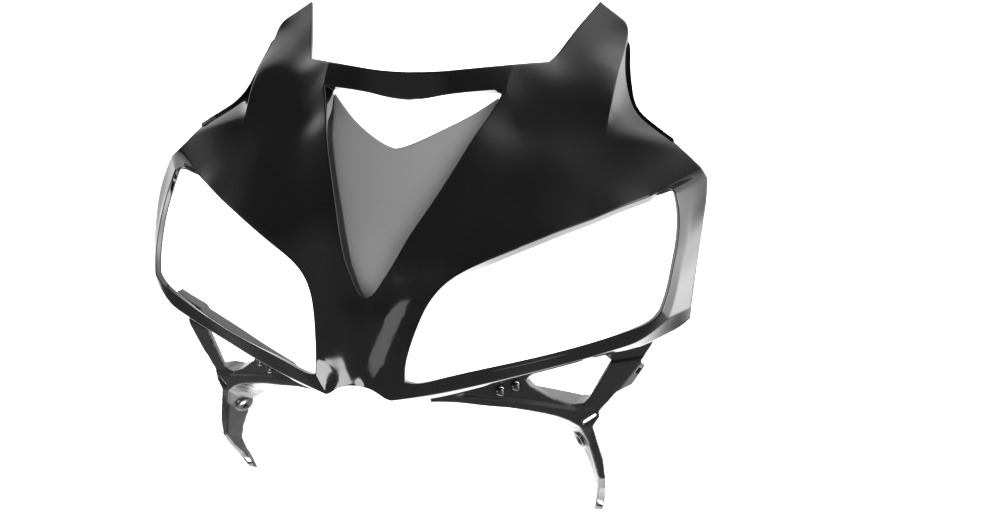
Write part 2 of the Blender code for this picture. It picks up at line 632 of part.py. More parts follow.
def build_bracket(name, side, material):
    """One lower bracket: front plate with a window, ledge, clip, rear flange, leg, boss and end tab."""
    grids, outline, window = bracket_grids()
    mesh = bmesh.new()
    for grid in grids:
        add_grid(mesh, grid)
    add_plate(mesh, outline, window)
    bracket = add_object(name, on_side(finished_mesh(mesh, name), side), material)
    add_thickness(bracket, BRACKET_WALL)
    centre, normal = boss_frame()
    tab_centre = (np.array(LEG_INNER[-1]) + LEG_OUTER[-1] + TAB_REACH) / 2
    clip = clip_grid(on_bracket_face(ARM_OUTER))
    clip_out, clip_up = CLIP_SLOT_PLACE
    clip_low, clip_high = clip[0] + clip_out * (clip[1] - clip[0])
    clip_along = clip_high - clip_low
    clip_face = np.cross(clip[1, 1] - clip[0, 0], clip_along)
    relief_low, relief_high = on_bracket_face(RELIEF_ENDS)
    relief_along = relief_high - relief_low
    face_normal = np.array((BRACKET_SLOPE, -1.0, 0.0))
    boss = cylinder_mesh(name + "_boss", centre + normal * (BOSS_HEIGHT - BOSS_SINK) / 2, normal,
                         BOSS_RADIUS, BOSS_HEIGHT + BOSS_SINK, BOSS_SIDES)
    holes = [
        cylinder_mesh(name + "_boss_hole", centre, normal, BOSS_HOLE_RADIUS, HOLE_DEPTH, HOLE_SIDES),
        block_mesh(name + "_tab_hole", tab_centre, np.eye(3),
                   (TAB_HOLE_WIDTH, SLOT_DEPTH, TAB_HOLE_HEIGHT)),
        block_mesh(name + "_clip_slot", clip_low + clip_up * clip_along,
                   (clip_along, np.cross(clip_face, clip_along), clip_face),
                   (CLIP_SLOT_LENGTH, CLIP_SLOT_WIDTH, SLOT_DEPTH)),
        block_mesh(name + "_relief_slot", (relief_low + relief_high) / 2,
                   (relief_along, np.cross(face_normal, relief_along), face_normal),
                   (np.linalg.norm(relief_along), RELIEF_WIDTH, SLOT_DEPTH)),
    ]
    for point in rivet_places().values():
        holes.append(cylinder_mesh(name + "_rivet_hole", point, (-BRACKET_SLOPE, 1.0, 0.0),
                                   RIVET_SHANK_RADIUS + FIT_GAP, HOLE_DEPTH, RIVET_HOLE_SIDES))
    combine(bracket, add_object(name + "_boss", on_side(boss, side), material), "UNION")
    for hole in holes:
        combine(bracket, add_object(hole.name, on_side(hole, side), material), "DIFFERENCE")
    return bracket


def build_rivet(name, place, side, material):
    """A push rivet at a point of the bracket's face: a low domed head over a shank."""
    dome = [(RIVET_HEAD_RADIUS * math.sin(turn), -FIT_GAP - RIVET_HEAD_HEIGHT * math.cos(turn))
            for turn in np.linspace(0, math.pi / 2, RIVET_DOME_STEPS + 1)]
    half = [*dome, (RIVET_SHANK_RADIUS, -FIT_GAP), (RIVET_SHANK_RADIUS, RIVET_LENGTH - RIVET_TIP),
            (RIVET_SHANK_RADIUS - RIVET_TIP, RIVET_LENGTH), (0.0, RIVET_LENGTH)]
    mesh = bmesh.new()
    verts = [mesh.verts.new((radius * MM, 0.0, depth * MM)) for radius, depth in half]
    edges = [mesh.edges.new(pair) for pair in zip(verts, verts[1:])]
    bmesh.ops.spin(mesh, geom=verts + edges, axis=(0, 0, 1), cent=(0, 0, 0), steps=RIVET_SIDES,
                   angle=math.tau, use_merge=True)
    bmesh.ops.remove_doubles(mesh, verts=mesh.verts, dist=0.001 * MM)
    bmesh.ops.recalc_face_normals(mesh, faces=mesh.faces)
    turn = Vector((-BRACKET_SLOPE, 1.0, 0.0)).to_track_quat("Z", "X").to_matrix().to_4x4()
    bmesh.ops.transform(mesh, matrix=Matrix.Translation(Vector(place) * MM) @ turn, verts=mesh.verts)
    return add_object(name, on_side(finished_mesh(mesh, name), side), material)


def centre_on_origin(things):
    """Hangs the pieces on one empty and moves it so that their box is centred on the origin."""
    graph = bpy.context.evaluated_depsgraph_get()
    corners = []
    for thing in things:
        mesh = thing.evaluated_get(graph).to_mesh()
        points = np.empty(len(mesh.vertices) * 3)
        mesh.vertices.foreach_get("co", points)
        corners += [points.reshape(-1, 3).min(axis=0), points.reshape(-1, 3).max(axis=0)]
    middle = (np.min(corners, axis=0) + np.max(corners, axis=0)) / 2
    mount = bpy.data.objects.new("fairing", None)
    mount.location = -Vector(middle)
    bpy.context.scene.collection.objects.link(mount)
    for thing in bpy.context.scene.collection.objects:
        if thing is not mount:
            thing.parent = mount


def main():
    for thing in list(bpy.data.objects):
        bpy.data.objects.remove(thing)
    gloss_black = plastic("gloss_black_plastic", (0.012, 0.012, 0.013), 0.12)
    satin_grey = plastic("satin_grey_plastic", (0.16, 0.16, 0.165), 0.45)
    matte_black = plastic("matte_black_plastic", (0.02, 0.02, 0.021), 0.4)
    pieces = [build_cowl(gloss_black), build_duct_floor(satin_grey)]
    for name, side in (("right", 1), ("left", -1)):
        pieces.append(build_bracket(name + "_bracket", side, matte_black))
        for spot, place in rivet_places().items():
            pieces.append(build_rivet(f"{name}_{spot}_rivet", place, side, matte_black))
    for piece in pieces:
        piece.data.set_sharp_from_angle(angle=math.radians(35))
    centre_on_origin(pieces)


main()
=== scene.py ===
"""Looks of the upper front fairing of a sports motorcycle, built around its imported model.

Shapes are worked out in millimetres in a working frame, which has its origin at the middle of the
chin's edge, +X to the right as seen from the front, +Y to the rear and +Z up. A finished mesh is
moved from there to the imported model's frame, in metres.
"""

from __future__ import annotations

import logging
import math
from dataclasses import dataclass, field
from enum import Enum
from typing import Callable, Sequence

import bpy
import numpy as np
from mathutils import Matrix, Vector

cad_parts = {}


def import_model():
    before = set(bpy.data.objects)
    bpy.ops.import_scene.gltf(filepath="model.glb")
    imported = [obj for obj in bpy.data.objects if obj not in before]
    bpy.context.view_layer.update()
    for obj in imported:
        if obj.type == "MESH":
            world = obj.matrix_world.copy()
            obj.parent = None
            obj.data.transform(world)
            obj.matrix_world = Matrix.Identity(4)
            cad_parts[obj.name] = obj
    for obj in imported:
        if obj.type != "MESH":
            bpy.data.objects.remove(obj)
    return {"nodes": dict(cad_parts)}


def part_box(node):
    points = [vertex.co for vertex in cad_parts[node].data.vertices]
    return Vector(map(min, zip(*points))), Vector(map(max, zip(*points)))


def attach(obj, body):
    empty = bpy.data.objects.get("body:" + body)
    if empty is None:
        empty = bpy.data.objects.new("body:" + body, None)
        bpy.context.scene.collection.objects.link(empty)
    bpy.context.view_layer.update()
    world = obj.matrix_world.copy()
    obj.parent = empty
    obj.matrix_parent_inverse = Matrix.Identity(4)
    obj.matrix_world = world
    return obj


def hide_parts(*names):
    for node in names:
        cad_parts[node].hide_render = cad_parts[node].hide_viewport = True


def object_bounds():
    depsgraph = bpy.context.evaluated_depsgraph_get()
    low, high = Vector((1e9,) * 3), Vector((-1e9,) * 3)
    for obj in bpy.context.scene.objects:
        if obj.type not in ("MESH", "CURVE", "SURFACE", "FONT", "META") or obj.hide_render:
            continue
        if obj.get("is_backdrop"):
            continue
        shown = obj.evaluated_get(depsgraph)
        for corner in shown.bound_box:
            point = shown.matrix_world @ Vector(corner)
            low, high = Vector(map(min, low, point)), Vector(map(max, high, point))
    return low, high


LOG = logging.getLogger("fairing")
MM = 0.001
JOIN_GAP = 0.02
LEAST_COSINE = 0.62
RIM_SHARES = (0.33, 0.67)
RIM_OUTSIDE = (0.7, 0.3)

Point = tuple[float, float, float]
Points = Sequence[Point]


class Side(Enum):
    """The two halves of the part, as seen from the front."""

    RIGHT = 1
    LEFT = -1


def smooth_curve(points: Points) -> Callable[[np.ndarray], np.ndarray]:
    """Makes a natural cubic spline with knots at the square root of the chords.

    Args:
        points: The points that the curve passes through.

    Returns:
        A function from distances along the curve, as shares of its length, to points.
    """
    through = np.asarray(points, float)
    chords = np.linalg.norm(np.diff(through, axis=0), axis=1) ** 0.5
    knots = np.concatenate([[0], np.cumsum(chords)])
    matrix = np.eye(len(through))
    target = np.zeros_like(through)
    slope = np.diff(through, axis=0) / chords[:, None]
    for i in range(1, len(through) - 1):
        matrix[i, i - 1:i + 2] = chords[i - 1], 2 * (chords[i - 1] + chords[i]), chords[i]
        target[i] = 6 * (slope[i] - slope[i - 1])
    bend = np.linalg.solve(matrix, target)

    def at(place: np.ndarray) -> np.ndarray:
        """The cubic of each span: end bends times cubed distances, plus straight parts."""
        i = np.clip(np.searchsorted(knots, place, side="right") - 1, 0, len(chords) - 1)
        step = chords[i][:, None]
        past = (place - knots[i])[:, None]
        left = (knots[i + 1] - place)[:, None]
        cubic = (bend[i] * left**3 + bend[i + 1] * past**3) / (6 * step)
        return (cubic + (through[i] / step - bend[i] * step / 6) * left
                + (through[i + 1] / step - bend[i + 1] * step / 6) * past)

    fine = np.linspace(0, knots[-1], 120 * len(through))
    run = np.concatenate([[0], np.cumsum(np.linalg.norm(np.diff(at(fine), axis=0), axis=1))])

    def by_share(share: np.ndarray) -> np.ndarray:
        """Points at shares of the curve's length."""
        return at(np.interp(share * run[-1], run, fine))

    return by_share


FOLD_ROWS = (0.6, 1.5)


def row_shares(length: np.ndarray | float, count: int) -> np.ndarray:
    """Shares of a length at which rows lie: two close rows at each end, and equal steps between.

    The close rows let a fold between two faces be rounded without changing the faces.

    Args:
        length: The length in millimetres, or an array of them.
        count: How many steps there are.

    Returns:
        count + 1 shares from 0 to 1, in a leading axis before that of the lengths.
    """
    length = np.asarray(length, float)
    near = [np.zeros_like(length)] + [row / length for row in FOLD_ROWS]
    steps = np.linspace(0, 1, count - 2 * len(FOLD_ROWS) + 1)[1:-1]
    between = [near[-1] + step * (1 - 2 * near[-1]) for step in steps]
    return np.stack(near + between + [1 - share for share in near[::-1]])


def run_length(points: np.ndarray) -> float:
    """The length of a line through points."""
    return float(np.linalg.norm(np.diff(points, axis=0), axis=1).sum())


def sampled(points: Points, count: int) -> np.ndarray:
    """Samples a smooth curve at close rows near its ends and at equal steps between."""
    curve = smooth_curve(points)
    share = row_shares(run_length(curve(np.linspace(0, 1, 200))), count)
    run = curve(share)
    run[0], run[-1] = points[0], points[-1]
    return run


def joined(*runs: np.ndarray) -> np.ndarray:
    """Joins sampled curves end to end, with each shared corner kept once."""
    return np.concatenate([runs[0]] + [run[1:] for run in runs[1:]])


def shares_of(run: np.ndarray) -> np.ndarray:
    """How far along a line each of its points is, as a share of its length."""
    gone = np.concatenate([[0], np.cumsum(np.linalg.norm(np.diff(run, axis=0), axis=1))])
    return gone / gone[-1]


def patch(low: np.ndarray, high: np.ndarray, start: np.ndarray, end: np.ndarray) -> np.ndarray:
    """Fills four curves with a Coons patch.

    The blend between low and high, plus the blend between start and end, less the blend of the
    four corners. Each point's two blend shares are those of its places along the edges.

    Args:
        low: The edge from the first corner to the second.
        high: The opposite edge, with as many points.
        start: The edge from the first corner to the start of high.
        end: The opposite edge, with as many points.

    Returns:
        A grid of points, along low in its first axis and along start in its second.
    """
    across = ((shares_of(start) + shares_of(end)) / 2)[None, :]
    along = shares_of(low)[:, None] * (1 - across) + shares_of(high)[:, None] * across
    across = shares_of(start)[None, :] * (1 - along) + shares_of(end)[None, :] * along
    u, v = along[..., None], across[..., None]
    between = low[:, None] * (1 - v) + high[:, None] * v
    beside = start[None] * (1 - u) + end[None] * u
    corners = (low[0] * (1 - u) * (1 - v) + low[-1] * u * (1 - v)
               + high[0] * (1 - u) * v + high[-1] * u * v)
    return between + beside - corners


def ribbon(edge: np.ndarray, far_edge: np.ndarray, count: int) -> np.ndarray:
    """A strip from one edge straight to another of as many points, with close rows at both."""
    share = row_shares(np.linalg.norm(far_edge - edge, axis=1), count)[..., None]
    return edge[None] * (1 - share) + far_edge[None] * share


def reach_along(stations: Points, run: np.ndarray) -> np.ndarray:
    """Spreads a flange's reach evenly over the length of its edge."""
    known = np.asarray(stations, float)
    places = shares_of(run) * (len(known) - 1)
    return np.stack([np.interp(places, range(len(known)), part) for part in known.T], axis=1)


@dataclass
class Sheet:
    """A surface of four-sided faces that share their corners."""

    points: np.ndarray
    quads: np.ndarray

    @classmethod
    def from_grids(cls, grids: Sequence[np.ndarray], mirror: bool) -> "Sheet":
        """Joins grids at their common points, to the joining gap.

        Args:
            grids: Grids of points whose faces turn outwards.
            mirror: Whether the same grids are also laid on the other side of the middle.

        Returns:
            The joined sheet.
        """
        points, quads, first = [], [], 0
        for turned in ((False, True) if mirror else (False,)):
            for grid in grids:
                rows, columns = grid.shape[:2]
                corner = first + (np.arange(rows - 1)[:, None] * columns + np.arange(columns - 1))
                face = np.stack([corner, corner + columns, corner + columns + 1, corner + 1], axis=-1)
                quads.append(face.reshape(-1, 4)[:, ::-1 if turned else 1])
                points.append(grid.reshape(-1, 3) * (-1 if turned else 1, 1, 1))
                first += rows * columns
        everything = np.concatenate(points)
        _, kept, index = np.unique(np.round(everything / JOIN_GAP).astype(np.int64), axis=0,
                                   return_index=True, return_inverse=True)
        return cls(everything[kept], index.reshape(-1)[np.concatenate(quads)])

    def normals(self) -> tuple[np.ndarray, np.ndarray]:
        """The faces' and the points' outward directions.

        A face's is the cross product of its diagonals. A point's is the sum of those of its
        faces, made one long.
        """
        corner = self.points[self.quads]
        face = np.cross(corner[:, 2] - corner[:, 0], corner[:, 3] - corner[:, 1])
        size = np.linalg.norm(face, axis=1, keepdims=True)
        face = face / np.maximum(size, 1e-12)
        point = np.zeros_like(self.points)
        for k in range(4):
            np.add.at(point, self.quads[:, k], face * size**0.5)
        return face, point / np.maximum(np.linalg.norm(point, axis=1, keepdims=True), 1e-12)

    def sides(self) -> np.ndarray:
        """Every side of every face, as pairs of points in the face's direction."""
        pairs = np.concatenate([self.quads[:, [k, (k + 1) % 4]] for k in range(4)])
        return pairs[pairs[:, 0] != pairs[:, 1]]

    def edges(self) -> np.ndarray:
        """Every edge once, as pairs of points."""
        return np.unique(np.sort(self.sides(), axis=1), axis=0)

    def rim(self) -> np.ndarray:
        """The edges that only one face has, in that face's direction."""
        count = len(self.points)
        pairs = self.sides()
        forward = pairs[:, 0] * count + pairs[:, 1]
        return pairs[~np.isin(forward, pairs[:, 1] * count + pairs[:, 0])]

    def relaxed(self, rounds: int, free: np.ndarray | None = None) -> "Sheet":
        """Moves each point half way to the mean of its neighbours, a few times.

        Args:
            rounds: How many times.
            free: Which points may move. All of them if it isn't given.

        Returns:
            The same faces on the moved points.
        """
        edges = self.edges()
        count = len(self.points)
        degree = np.bincount(edges.ravel(), minlength=count)
        points = self.points.copy()
        for _ in range(rounds):
            mean = np.stack([
                np.bincount(edges[:, 0], points[edges[:, 1], k], count)
                + np.bincount(edges[:, 1], points[edges[:, 0], k], count) for k in range(3)
            ], axis=1) / np.maximum(degree, 1)[:, None]
            moved = points + (mean - points) / 2
            points = moved if free is None else np.where(free[:, None], moved, points)
        return Sheet(points, self.quads)


@dataclass
class Shell:
    """A sheet that was given a wall."""

    sheet: Sheet
    outside: np.ndarray

    @classmethod
    def of(cls, outer: Sheet, wall: float, rounds: int = 3, inner_rounds: int = 8) -> "Shell":
        """Gives a sheet its wall and rounds its folds and its rim.

        The inner face is the outer one moved in by the wall, further where faces meet at an
        angle, by one over the mean cosine to the faces around. The rim is a strip of four rows.

        Args:
            outer: The outer faces.
            wall: The wall in millimetres.
            rounds: How many times the closed shell is relaxed, which rounds its folds.
            inner_rounds: How many times the inner face is relaxed alone.

        Returns:
            The closed shell, with 1 for each point of its outer face and less inwards.
        """
        face, point = outer.normals()
        meet = np.zeros(len(outer.points))
        hits = np.zeros(len(outer.points))
        for k in range(4):
            corner = outer.quads[:, k]
            np.add.at(meet, corner, (point[corner] * face).sum(axis=1))
            np.add.at(hits, corner, 1)
        depth = wall / np.clip(meet / np.maximum(hits, 1), LEAST_COSINE, 1)
        rim = outer.rim()
        ring = np.unique(rim)
        fixed = np.zeros(len(outer.points), bool)
        fixed[ring] = True
        inner = Sheet(outer.points - point * depth[:, None], outer.quads).relaxed(inner_rounds, ~fixed)
        count = len(outer.points)
        place = np.full(count, -1)
        place[ring] = np.arange(len(ring))
        rows = [ring] + [2 * count + k * len(ring) + np.arange(len(ring)) for k in range(2)]
        rows.append(ring + count)
        share = np.array(RIM_SHARES)[:, None, None]
        middle = outer.points[ring] * (1 - share) + inner.points[ring] * share
        quads = [outer.quads, inner.quads[:, ::-1] + count]
        a, b = place[rim[:, 0]], place[rim[:, 1]]
        for near, far in zip(rows, rows[1:]):
            quads.append(np.stack([near[b], near[a], far[a], far[b]], axis=1))
        points = np.concatenate([outer.points, inner.points, middle.reshape(-1, 3)])
        outside = np.concatenate([np.ones(count), np.zeros(count), np.repeat(RIM_OUTSIDE, len(ring))])
        return cls(Sheet(points, np.concatenate(quads)).relaxed(rounds), outside)


def mesh_of(name: str, sheet: Sheet, shift: np.ndarray) -> bpy.types.Mesh:
    """Makes a smooth-shaded Blender mesh from a sheet in millimetres.

    Args:
        name: The mesh's name.
        sheet: The faces.
        shift: What is added to each point, in millimetres.

    Returns:
        The mesh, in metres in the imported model's frame.
    """
    data = bpy.data.meshes.new(name)
    data.from_pydata(((sheet.points + shift) * MM).tolist(), [], sheet.quads.tolist())
    data.validate()
    data.polygons.foreach_set("use_smooth", np.ones(len(data.polygons), bool))
    data.update()
    return data


def linked(name: str, data: bpy.types.ID) -> bpy.types.Object:
    """Puts a new object into the scene."""
    thing = bpy.data.objects.new(name, data)
    bpy.context.scene.collection.objects.link(thing)
    return thing


@dataclass
class Skin:
    """The cowl's skin: a thin plate bent through form points, as a height above a leaning plane."""

    lean: float = math.radians(45)
    step: float = 13.0
    step_width: float = 6.0
    fade_before: float = 8.0
    fade_past: float = 12.0
    ease: float = 2e-3
    scale: float = 100.0
    crease: np.ndarray = field(default_factory=lambda: np.zeros((0, 3)))
    places: np.ndarray = field(default_factory=lambda: np.zeros((0, 2)))
    weights: np.ndarray = field(default_factory=lambda: np.zeros(0))

    def leaning(self, points: np.ndarray | Points) -> np.ndarray:
        """Turns points into (x, distance up the leaning plane, height above it)."""
        x, y, z = np.moveaxis(np.asarray(points, float), -1, 0)
        cos, sin = math.cos(self.lean), math.sin(self.lean)
        return np.stack([x, y * cos + z * sin, z * cos - y * sin], axis=-1)

    def upright(self, x: np.ndarray, up: np.ndarray, height: np.ndarray) -> np.ndarray:
        """Turns leaning coordinates back into (x, y, z)."""
        cos, sin = math.cos(self.lean), math.sin(self.lean)
        return np.stack([x, up * cos - height * sin, up * sin + height * cos], axis=-1)

    def drop(self, x: np.ndarray, up: np.ndarray) -> np.ndarray:
        """How far the skin outside the wing's crease lies below the wing.

        The step's depth, faded in smoothly up the shoulder, times one less the exponential of the
        distance outside the crease over the step's width.
        """
        edge = np.interp(up, self.crease[:, 1], self.crease[:, 0])
        foot, full = self.crease[2, 1] - self.fade_before, self.crease[3, 1] + self.fade_past
        fade = np.clip((up - foot) / (full - foot), 0, 1)
        depth = self.step * fade * fade * (3 - 2 * fade)
        return depth * (1 - np.exp(-np.maximum(x - edge, 0) / self.step_width))

    @staticmethod
    def bending(offsets: np.ndarray) -> np.ndarray:
        """A thin plate around one point: half the squared distance times its logarithm."""
        squared = (offsets**2).sum(axis=-1)
        return 0.5 * squared * np.log(squared + 1e-9)

    def fit(self, form: Points, crease: Points) -> None:
        """Bends the plate through the form points and their mirror images.

        Args:
            form: The points that the skin passes through.
            crease: The line outside which the wing's step lies.
        """
        self.crease = self.leaning(crease)
        known = self.leaning(form)
        known[:, 2] += self.drop(known[:, 0], known[:, 1])
        known = np.concatenate([known, known[known[:, 0] > 0.01] * (-1, 1, 1)])
        self.places = known[:, :2] / self.scale
        count = len(known)
        system = np.zeros((count + 3, count + 3))
        system[:count, :count] = self.bending(self.places[:, None] - self.places[None])
        system[:count, :count] += np.eye(count) * self.ease
        system[:count, count:] = np.column_stack([np.ones(count), self.places])
        system[count:, :count] = system[:count, count:].T
        self.weights = np.linalg.solve(system, np.concatenate([known[:, 2], [0, 0, 0]]))

    def lay(self, points: np.ndarray) -> np.ndarray:
        """Moves points square to the leaning plane until they lie in the skin."""
        flat = self.leaning(points)
        at = flat[..., :2] / self.scale
        count = len(self.places)
        plate = self.bending(at[..., None, :] - self.places) @ self.weights[:count]
        height = plate + self.weights[count] + at @ self.weights[count + 1:]
        height = height - self.drop(flat[..., 0], flat[..., 1])
        return self.upright(flat[..., 0], flat[..., 1], height)

    def curve(self, points: Points, count: int) -> np.ndarray:
        """A smooth curve through the points, laid on the skin."""
        return self.lay(sampled(points, count))

    def patch(self, low: np.ndarray, high: np.ndarray, start: np.ndarray,
              end: np.ndarray) -> np.ndarray:
        """A patch whose inside points are laid on the skin."""
        grid = patch(low, high, start, end)
        grid[1:-1, 1:-1] = self.lay(grid)[1:-1, 1:-1]
        return grid


# Corners and outlines of the right half, in the working frame
CHIN_MIDDLE = (0.0, 0.0, 0.5)
CHIN_CORNER = (25.0, 1.5, -9.0)
DUCT_TIP = (0.0, 27.5, 57.0)
DUCT_CORNER = (74.3, 142.0, 187.0)
BAR_CORNER = (76.0, 158.0, 202.0)
WING_ROOT = (99.0, 173.0, 201.5)
WING_TIP = (124.5, 234.0, 238.0)
WING_SHOULDER = (150.3, 219.0, 217.5)
LAMP_INNER_CORNER = (35.0, 7.0, 4.0)
LAMP_CROWN = (150.0, 97.0, 103.0)
FACET_START = (186.0, 126.0, 113.5)
FACET_TOP = (218.5, 154.5, 128.5)
FLANK_TOP = (224.0, 149.0, 122.5)
LAMP_OUTER_CORNER = (205.0, 122.0, 118.0)
LAMP_LOW_CORNER = (204.5, 75.0, 45.0)
BAR_FOOT = (208.0, 80.5, 37.5)
FLANK_FOOT = (221.5, 98.5, 41.0)
LIP_FOOT = (221.0, 97.0, 32.5)
REAR_CORNER = (196.7, 158.0, 146.5)
SPINE = [CHIN_MIDDLE, (0.0, 6.5, 15.0), (0.0, 13.5, 30.0), (0.0, 20.5, 44.0), DUCT_TIP]
DUCT_SIDE = [
    DUCT_TIP, (5.0, 28.0, 59.0), (10.0, 31.5, 66.5), (17.5, 37.0, 78.5), (26.0, 48.0, 95.5),
    (37.7, 69.0, 116.0), (50.3, 91.0, 139.5), (60.8, 112.0, 160.5), DUCT_CORNER,
]
BAR_SHOULDER = [BAR_CORNER, (88.0, 165.0, 202.0), WING_ROOT]
BAR_TOP = [(0.0, 133.0, 199.5), (22.0, 136.5, 199.8), (44.0, 144.0, 200.8), BAR_CORNER]
BAR_BOTTOM = [(0.0, 129.5, 178.5), (15.0, 130.0, 180.0), (30.0, 131.5, 182.8),
              (56.0, 136.5, 185.5), DUCT_CORNER]
ARCH = [CHIN_MIDDLE, (7.0, -0.5, 0.2), (15.0, -0.5, -2.6), (21.0, 0.5, -7.2), CHIN_CORNER]
LAMP_TOP = [
    LAMP_INNER_CORNER, (34.8, 9.0, 13.0), (36.5, 14.5, 25.0), (43.0, 28.0, 47.5),
    (50.7, 38.0, 61.0), (63.0, 46.5, 71.5), (93.0, 60.0, 85.5), (128.6, 81.5, 97.5), LAMP_CROWN,
]
LAMP_CROWN_EDGE = [LAMP_CROWN, (168.0, 110.5, 109.0), FACET_START]
LAMP_CORNER = [FACET_START, (194.0, 128.5, 117.0), (201.0, 127.0, 119.5), LAMP_OUTER_CORNER]
LAMP_SIDE = [LAMP_OUTER_CORNER, (208.5, 117.0, 106.0), (210.4, 104.5, 88.0),
             (209.4, 92.5, 72.0), (207.6, 82.5, 56.5), LAMP_LOW_CORNER]
LAMP_LOW = [
    LAMP_LOW_CORNER, (199.0, 73.0, 38.5), (186.0, 68.5, 32.5), (161.8, 57.5, 26.0),
    (141.9, 48.4, 21.5), (119.6, 37.5, 17.5), (91.0, 26.0, 12.5), (60.0, 15.0, 6.0),
    (42.0, 9.0, 2.5), LAMP_INNER_CORNER,
]
WING_INNER = [WING_ROOT, (102.3, 180.5, 204.5), (107.5, 193.8, 213.0), (113.7, 209.0, 223.0),
              WING_TIP]
WING_TOP = [WING_TIP, (133.0, 230.5, 232.5), (142.0, 226.5, 227.0), (147.8, 223.0, 222.8),
            WING_SHOULDER]
WING_CREASE = [LAMP_CROWN, (149.0, 122.0, 131.5), (149.4, 146.5, 157.7), (150.5, 160.0, 174.0),
               (150.9, 181.0, 193.0), WING_SHOULDER]
FACET_EDGE = [FACET_START, (202.0, 140.5, 121.0), FACET_TOP]
WING_REAR = [WING_SHOULDER, (153.2, 203.0, 198.8), (157.5, 187.5, 182.3), (165.6, 173.0, 166.8),
             (179.4, 164.0, 157.0), REAR_CORNER]
SHOULDER_REAR = [FACET_TOP, (212.0, 156.0, 134.0), REAR_CORNER]
FLANK_REAR = [FLANK_TOP, (225.2, 138.0, 111.0), (225.0, 125.5, 96.5), (223.5, 110.5, 70.5),
              FLANK_FOOT]
CHIN_EDGE = [
    CHIN_CORNER, (50.4, 12.3, -6.8), (80.4, 22.6, -1.6), (107.4, 33.8, 3.4), (134.4, 45.6, 8.9),
    (161.5, 55.8, 15.6), (175.3, 61.1, 19.6), (190.0, 67.8, 24.6), BAR_FOOT,
]
LIP_ARCH = [(0.0, 8.0, 2.0), (15.0, 8.5, -2.0), (27.0, 10.0, -13.0)]
LIP_EDGE = [
    LIP_ARCH[-1], (50.0, 17.4, -11.8), (80.0, 27.2, -5.7), (107.0, 37.8, 0.2),
    (134.0, 49.6, 5.7), (161.0, 60.9, 11.8), (175.0, 67.2, 14.2), (190.0, 76.0, 16.8),
    (207.0, 86.5, 23.5),
]
LIP_END = [LIP_EDGE[-1], (215.0, 92.0, 27.5), LIP_FOOT]
# Places inside the outlines that the skin also passes through
NOSE_SIDE = [(30.0, 33.88, 66.3), (29.0, 28.87, 57.09), (24.0, 22.21, 45.45), (30.4, 23.29, 45.57),
             (20.55, 14.07, 30.04), (13.35, 6.7, 15.21), (38.8, 25.78, 44.98), (13.0, 20.43, 45.63)]
CHEEK = [(90.0, 88.0, 118.0), (118.0, 117.0, 140.0), (88.6, 149.0, 184.0), (80.0, 129.5, 164.5),
         (176.0, 136.0, 133.5), (122.0, 158.0, 180.0)]
# How far the return flanges reach from their edges, at even stations
LAMP_RETURN = [(-1.0, 6.5, -1.0), (-2.0, 7.5, -2.0), (-2.5, 7.0, -5.0), (-1.2, 5.5, -7.0),
               (-1.0, 5.5, -7.0), (-1.5, 5.5, -6.5)]
LAMP_CROWN_RETURN = [(-1.5, 5.5, -6.5)] * 2
LAMP_CORNER_RETURN = [(-1.5, 5.5, -6.5), (-3.0, 5.0, -4.0), (-3.2, 4.8, 0.0)]
LAMP_SIDE_RETURN = [(-3.2, 4.8, 0.0)] * 2
LAMP_LOW_RETURN = [(-3.2, 4.8, 0.0), (-0.5, 3.6, -2.2), (-0.5, 3.6, -2.2), (-1.0, 6.5, -1.0)]
DUCT_RETURN = [(0.0, 7.2, -3.4), (-2.0, 7.0, -3.5), (-2.0, 5.0, -3.5), (-2.0, 5.0, -3.5),
               (-6.0, 5.0, -6.0)]
BAR_RETURN = [(0.0, 7.5, 0.0), (0.0, 7.0, -1.0), (0.0, 6.5, -2.0), (-6.0, 5.0, -6.0)]


class Signal:
    """A shader socket that Python's arithmetic adds Math nodes to."""

    def __init__(self, graph: "Graph", socket: bpy.types.NodeSocket) -> None:
        """Wraps an output socket of a node tree."""
        self.graph = graph
        self.socket = socket

    def math(self, operation: str, *others: "Signal | float", first: float | None = None) -> "Signal":
        """Adds one Math node.

        Args:
            operation: Blender's name of the operation.
            others: What comes after this signal.
            first: A number that comes before this signal, if there is one.

        Returns:
            The node's result.
        """
        values = [self, *others] if first is None else [first, self, *others]
        return self.graph.signal("ShaderNodeMath", {"operation": operation}, dict(enumerate(values)))

    def __add__(self, other: "Signal | float") -> "Signal":
        """The sum."""
        return self.math("ADD", other)

    __radd__ = __add__

    def __mul__(self, other: "Signal | float") -> "Signal":
        """The product."""
        return self.math("MULTIPLY", other)

    __rmul__ = __mul__

    def __sub__(self, other: "Signal | float") -> "Signal":
        """The difference."""
        return self.math("SUBTRACT", other)

    def __rsub__(self, other: float) -> "Signal":
        """A number less this signal."""
        return self.math("SUBTRACT", first=other)

    def clamped(self) -> "Signal":
        """The signal kept between 0 and 1."""
        return self.math("MINIMUM", 1.0).math("MAXIMUM", 0.0)

    def between(self, low: float, high: float) -> "Signal":
        """Ramps the signal from 0 at low to 1 at high."""
        return ((self - low) * (1.0 / (high - low))).clamped()


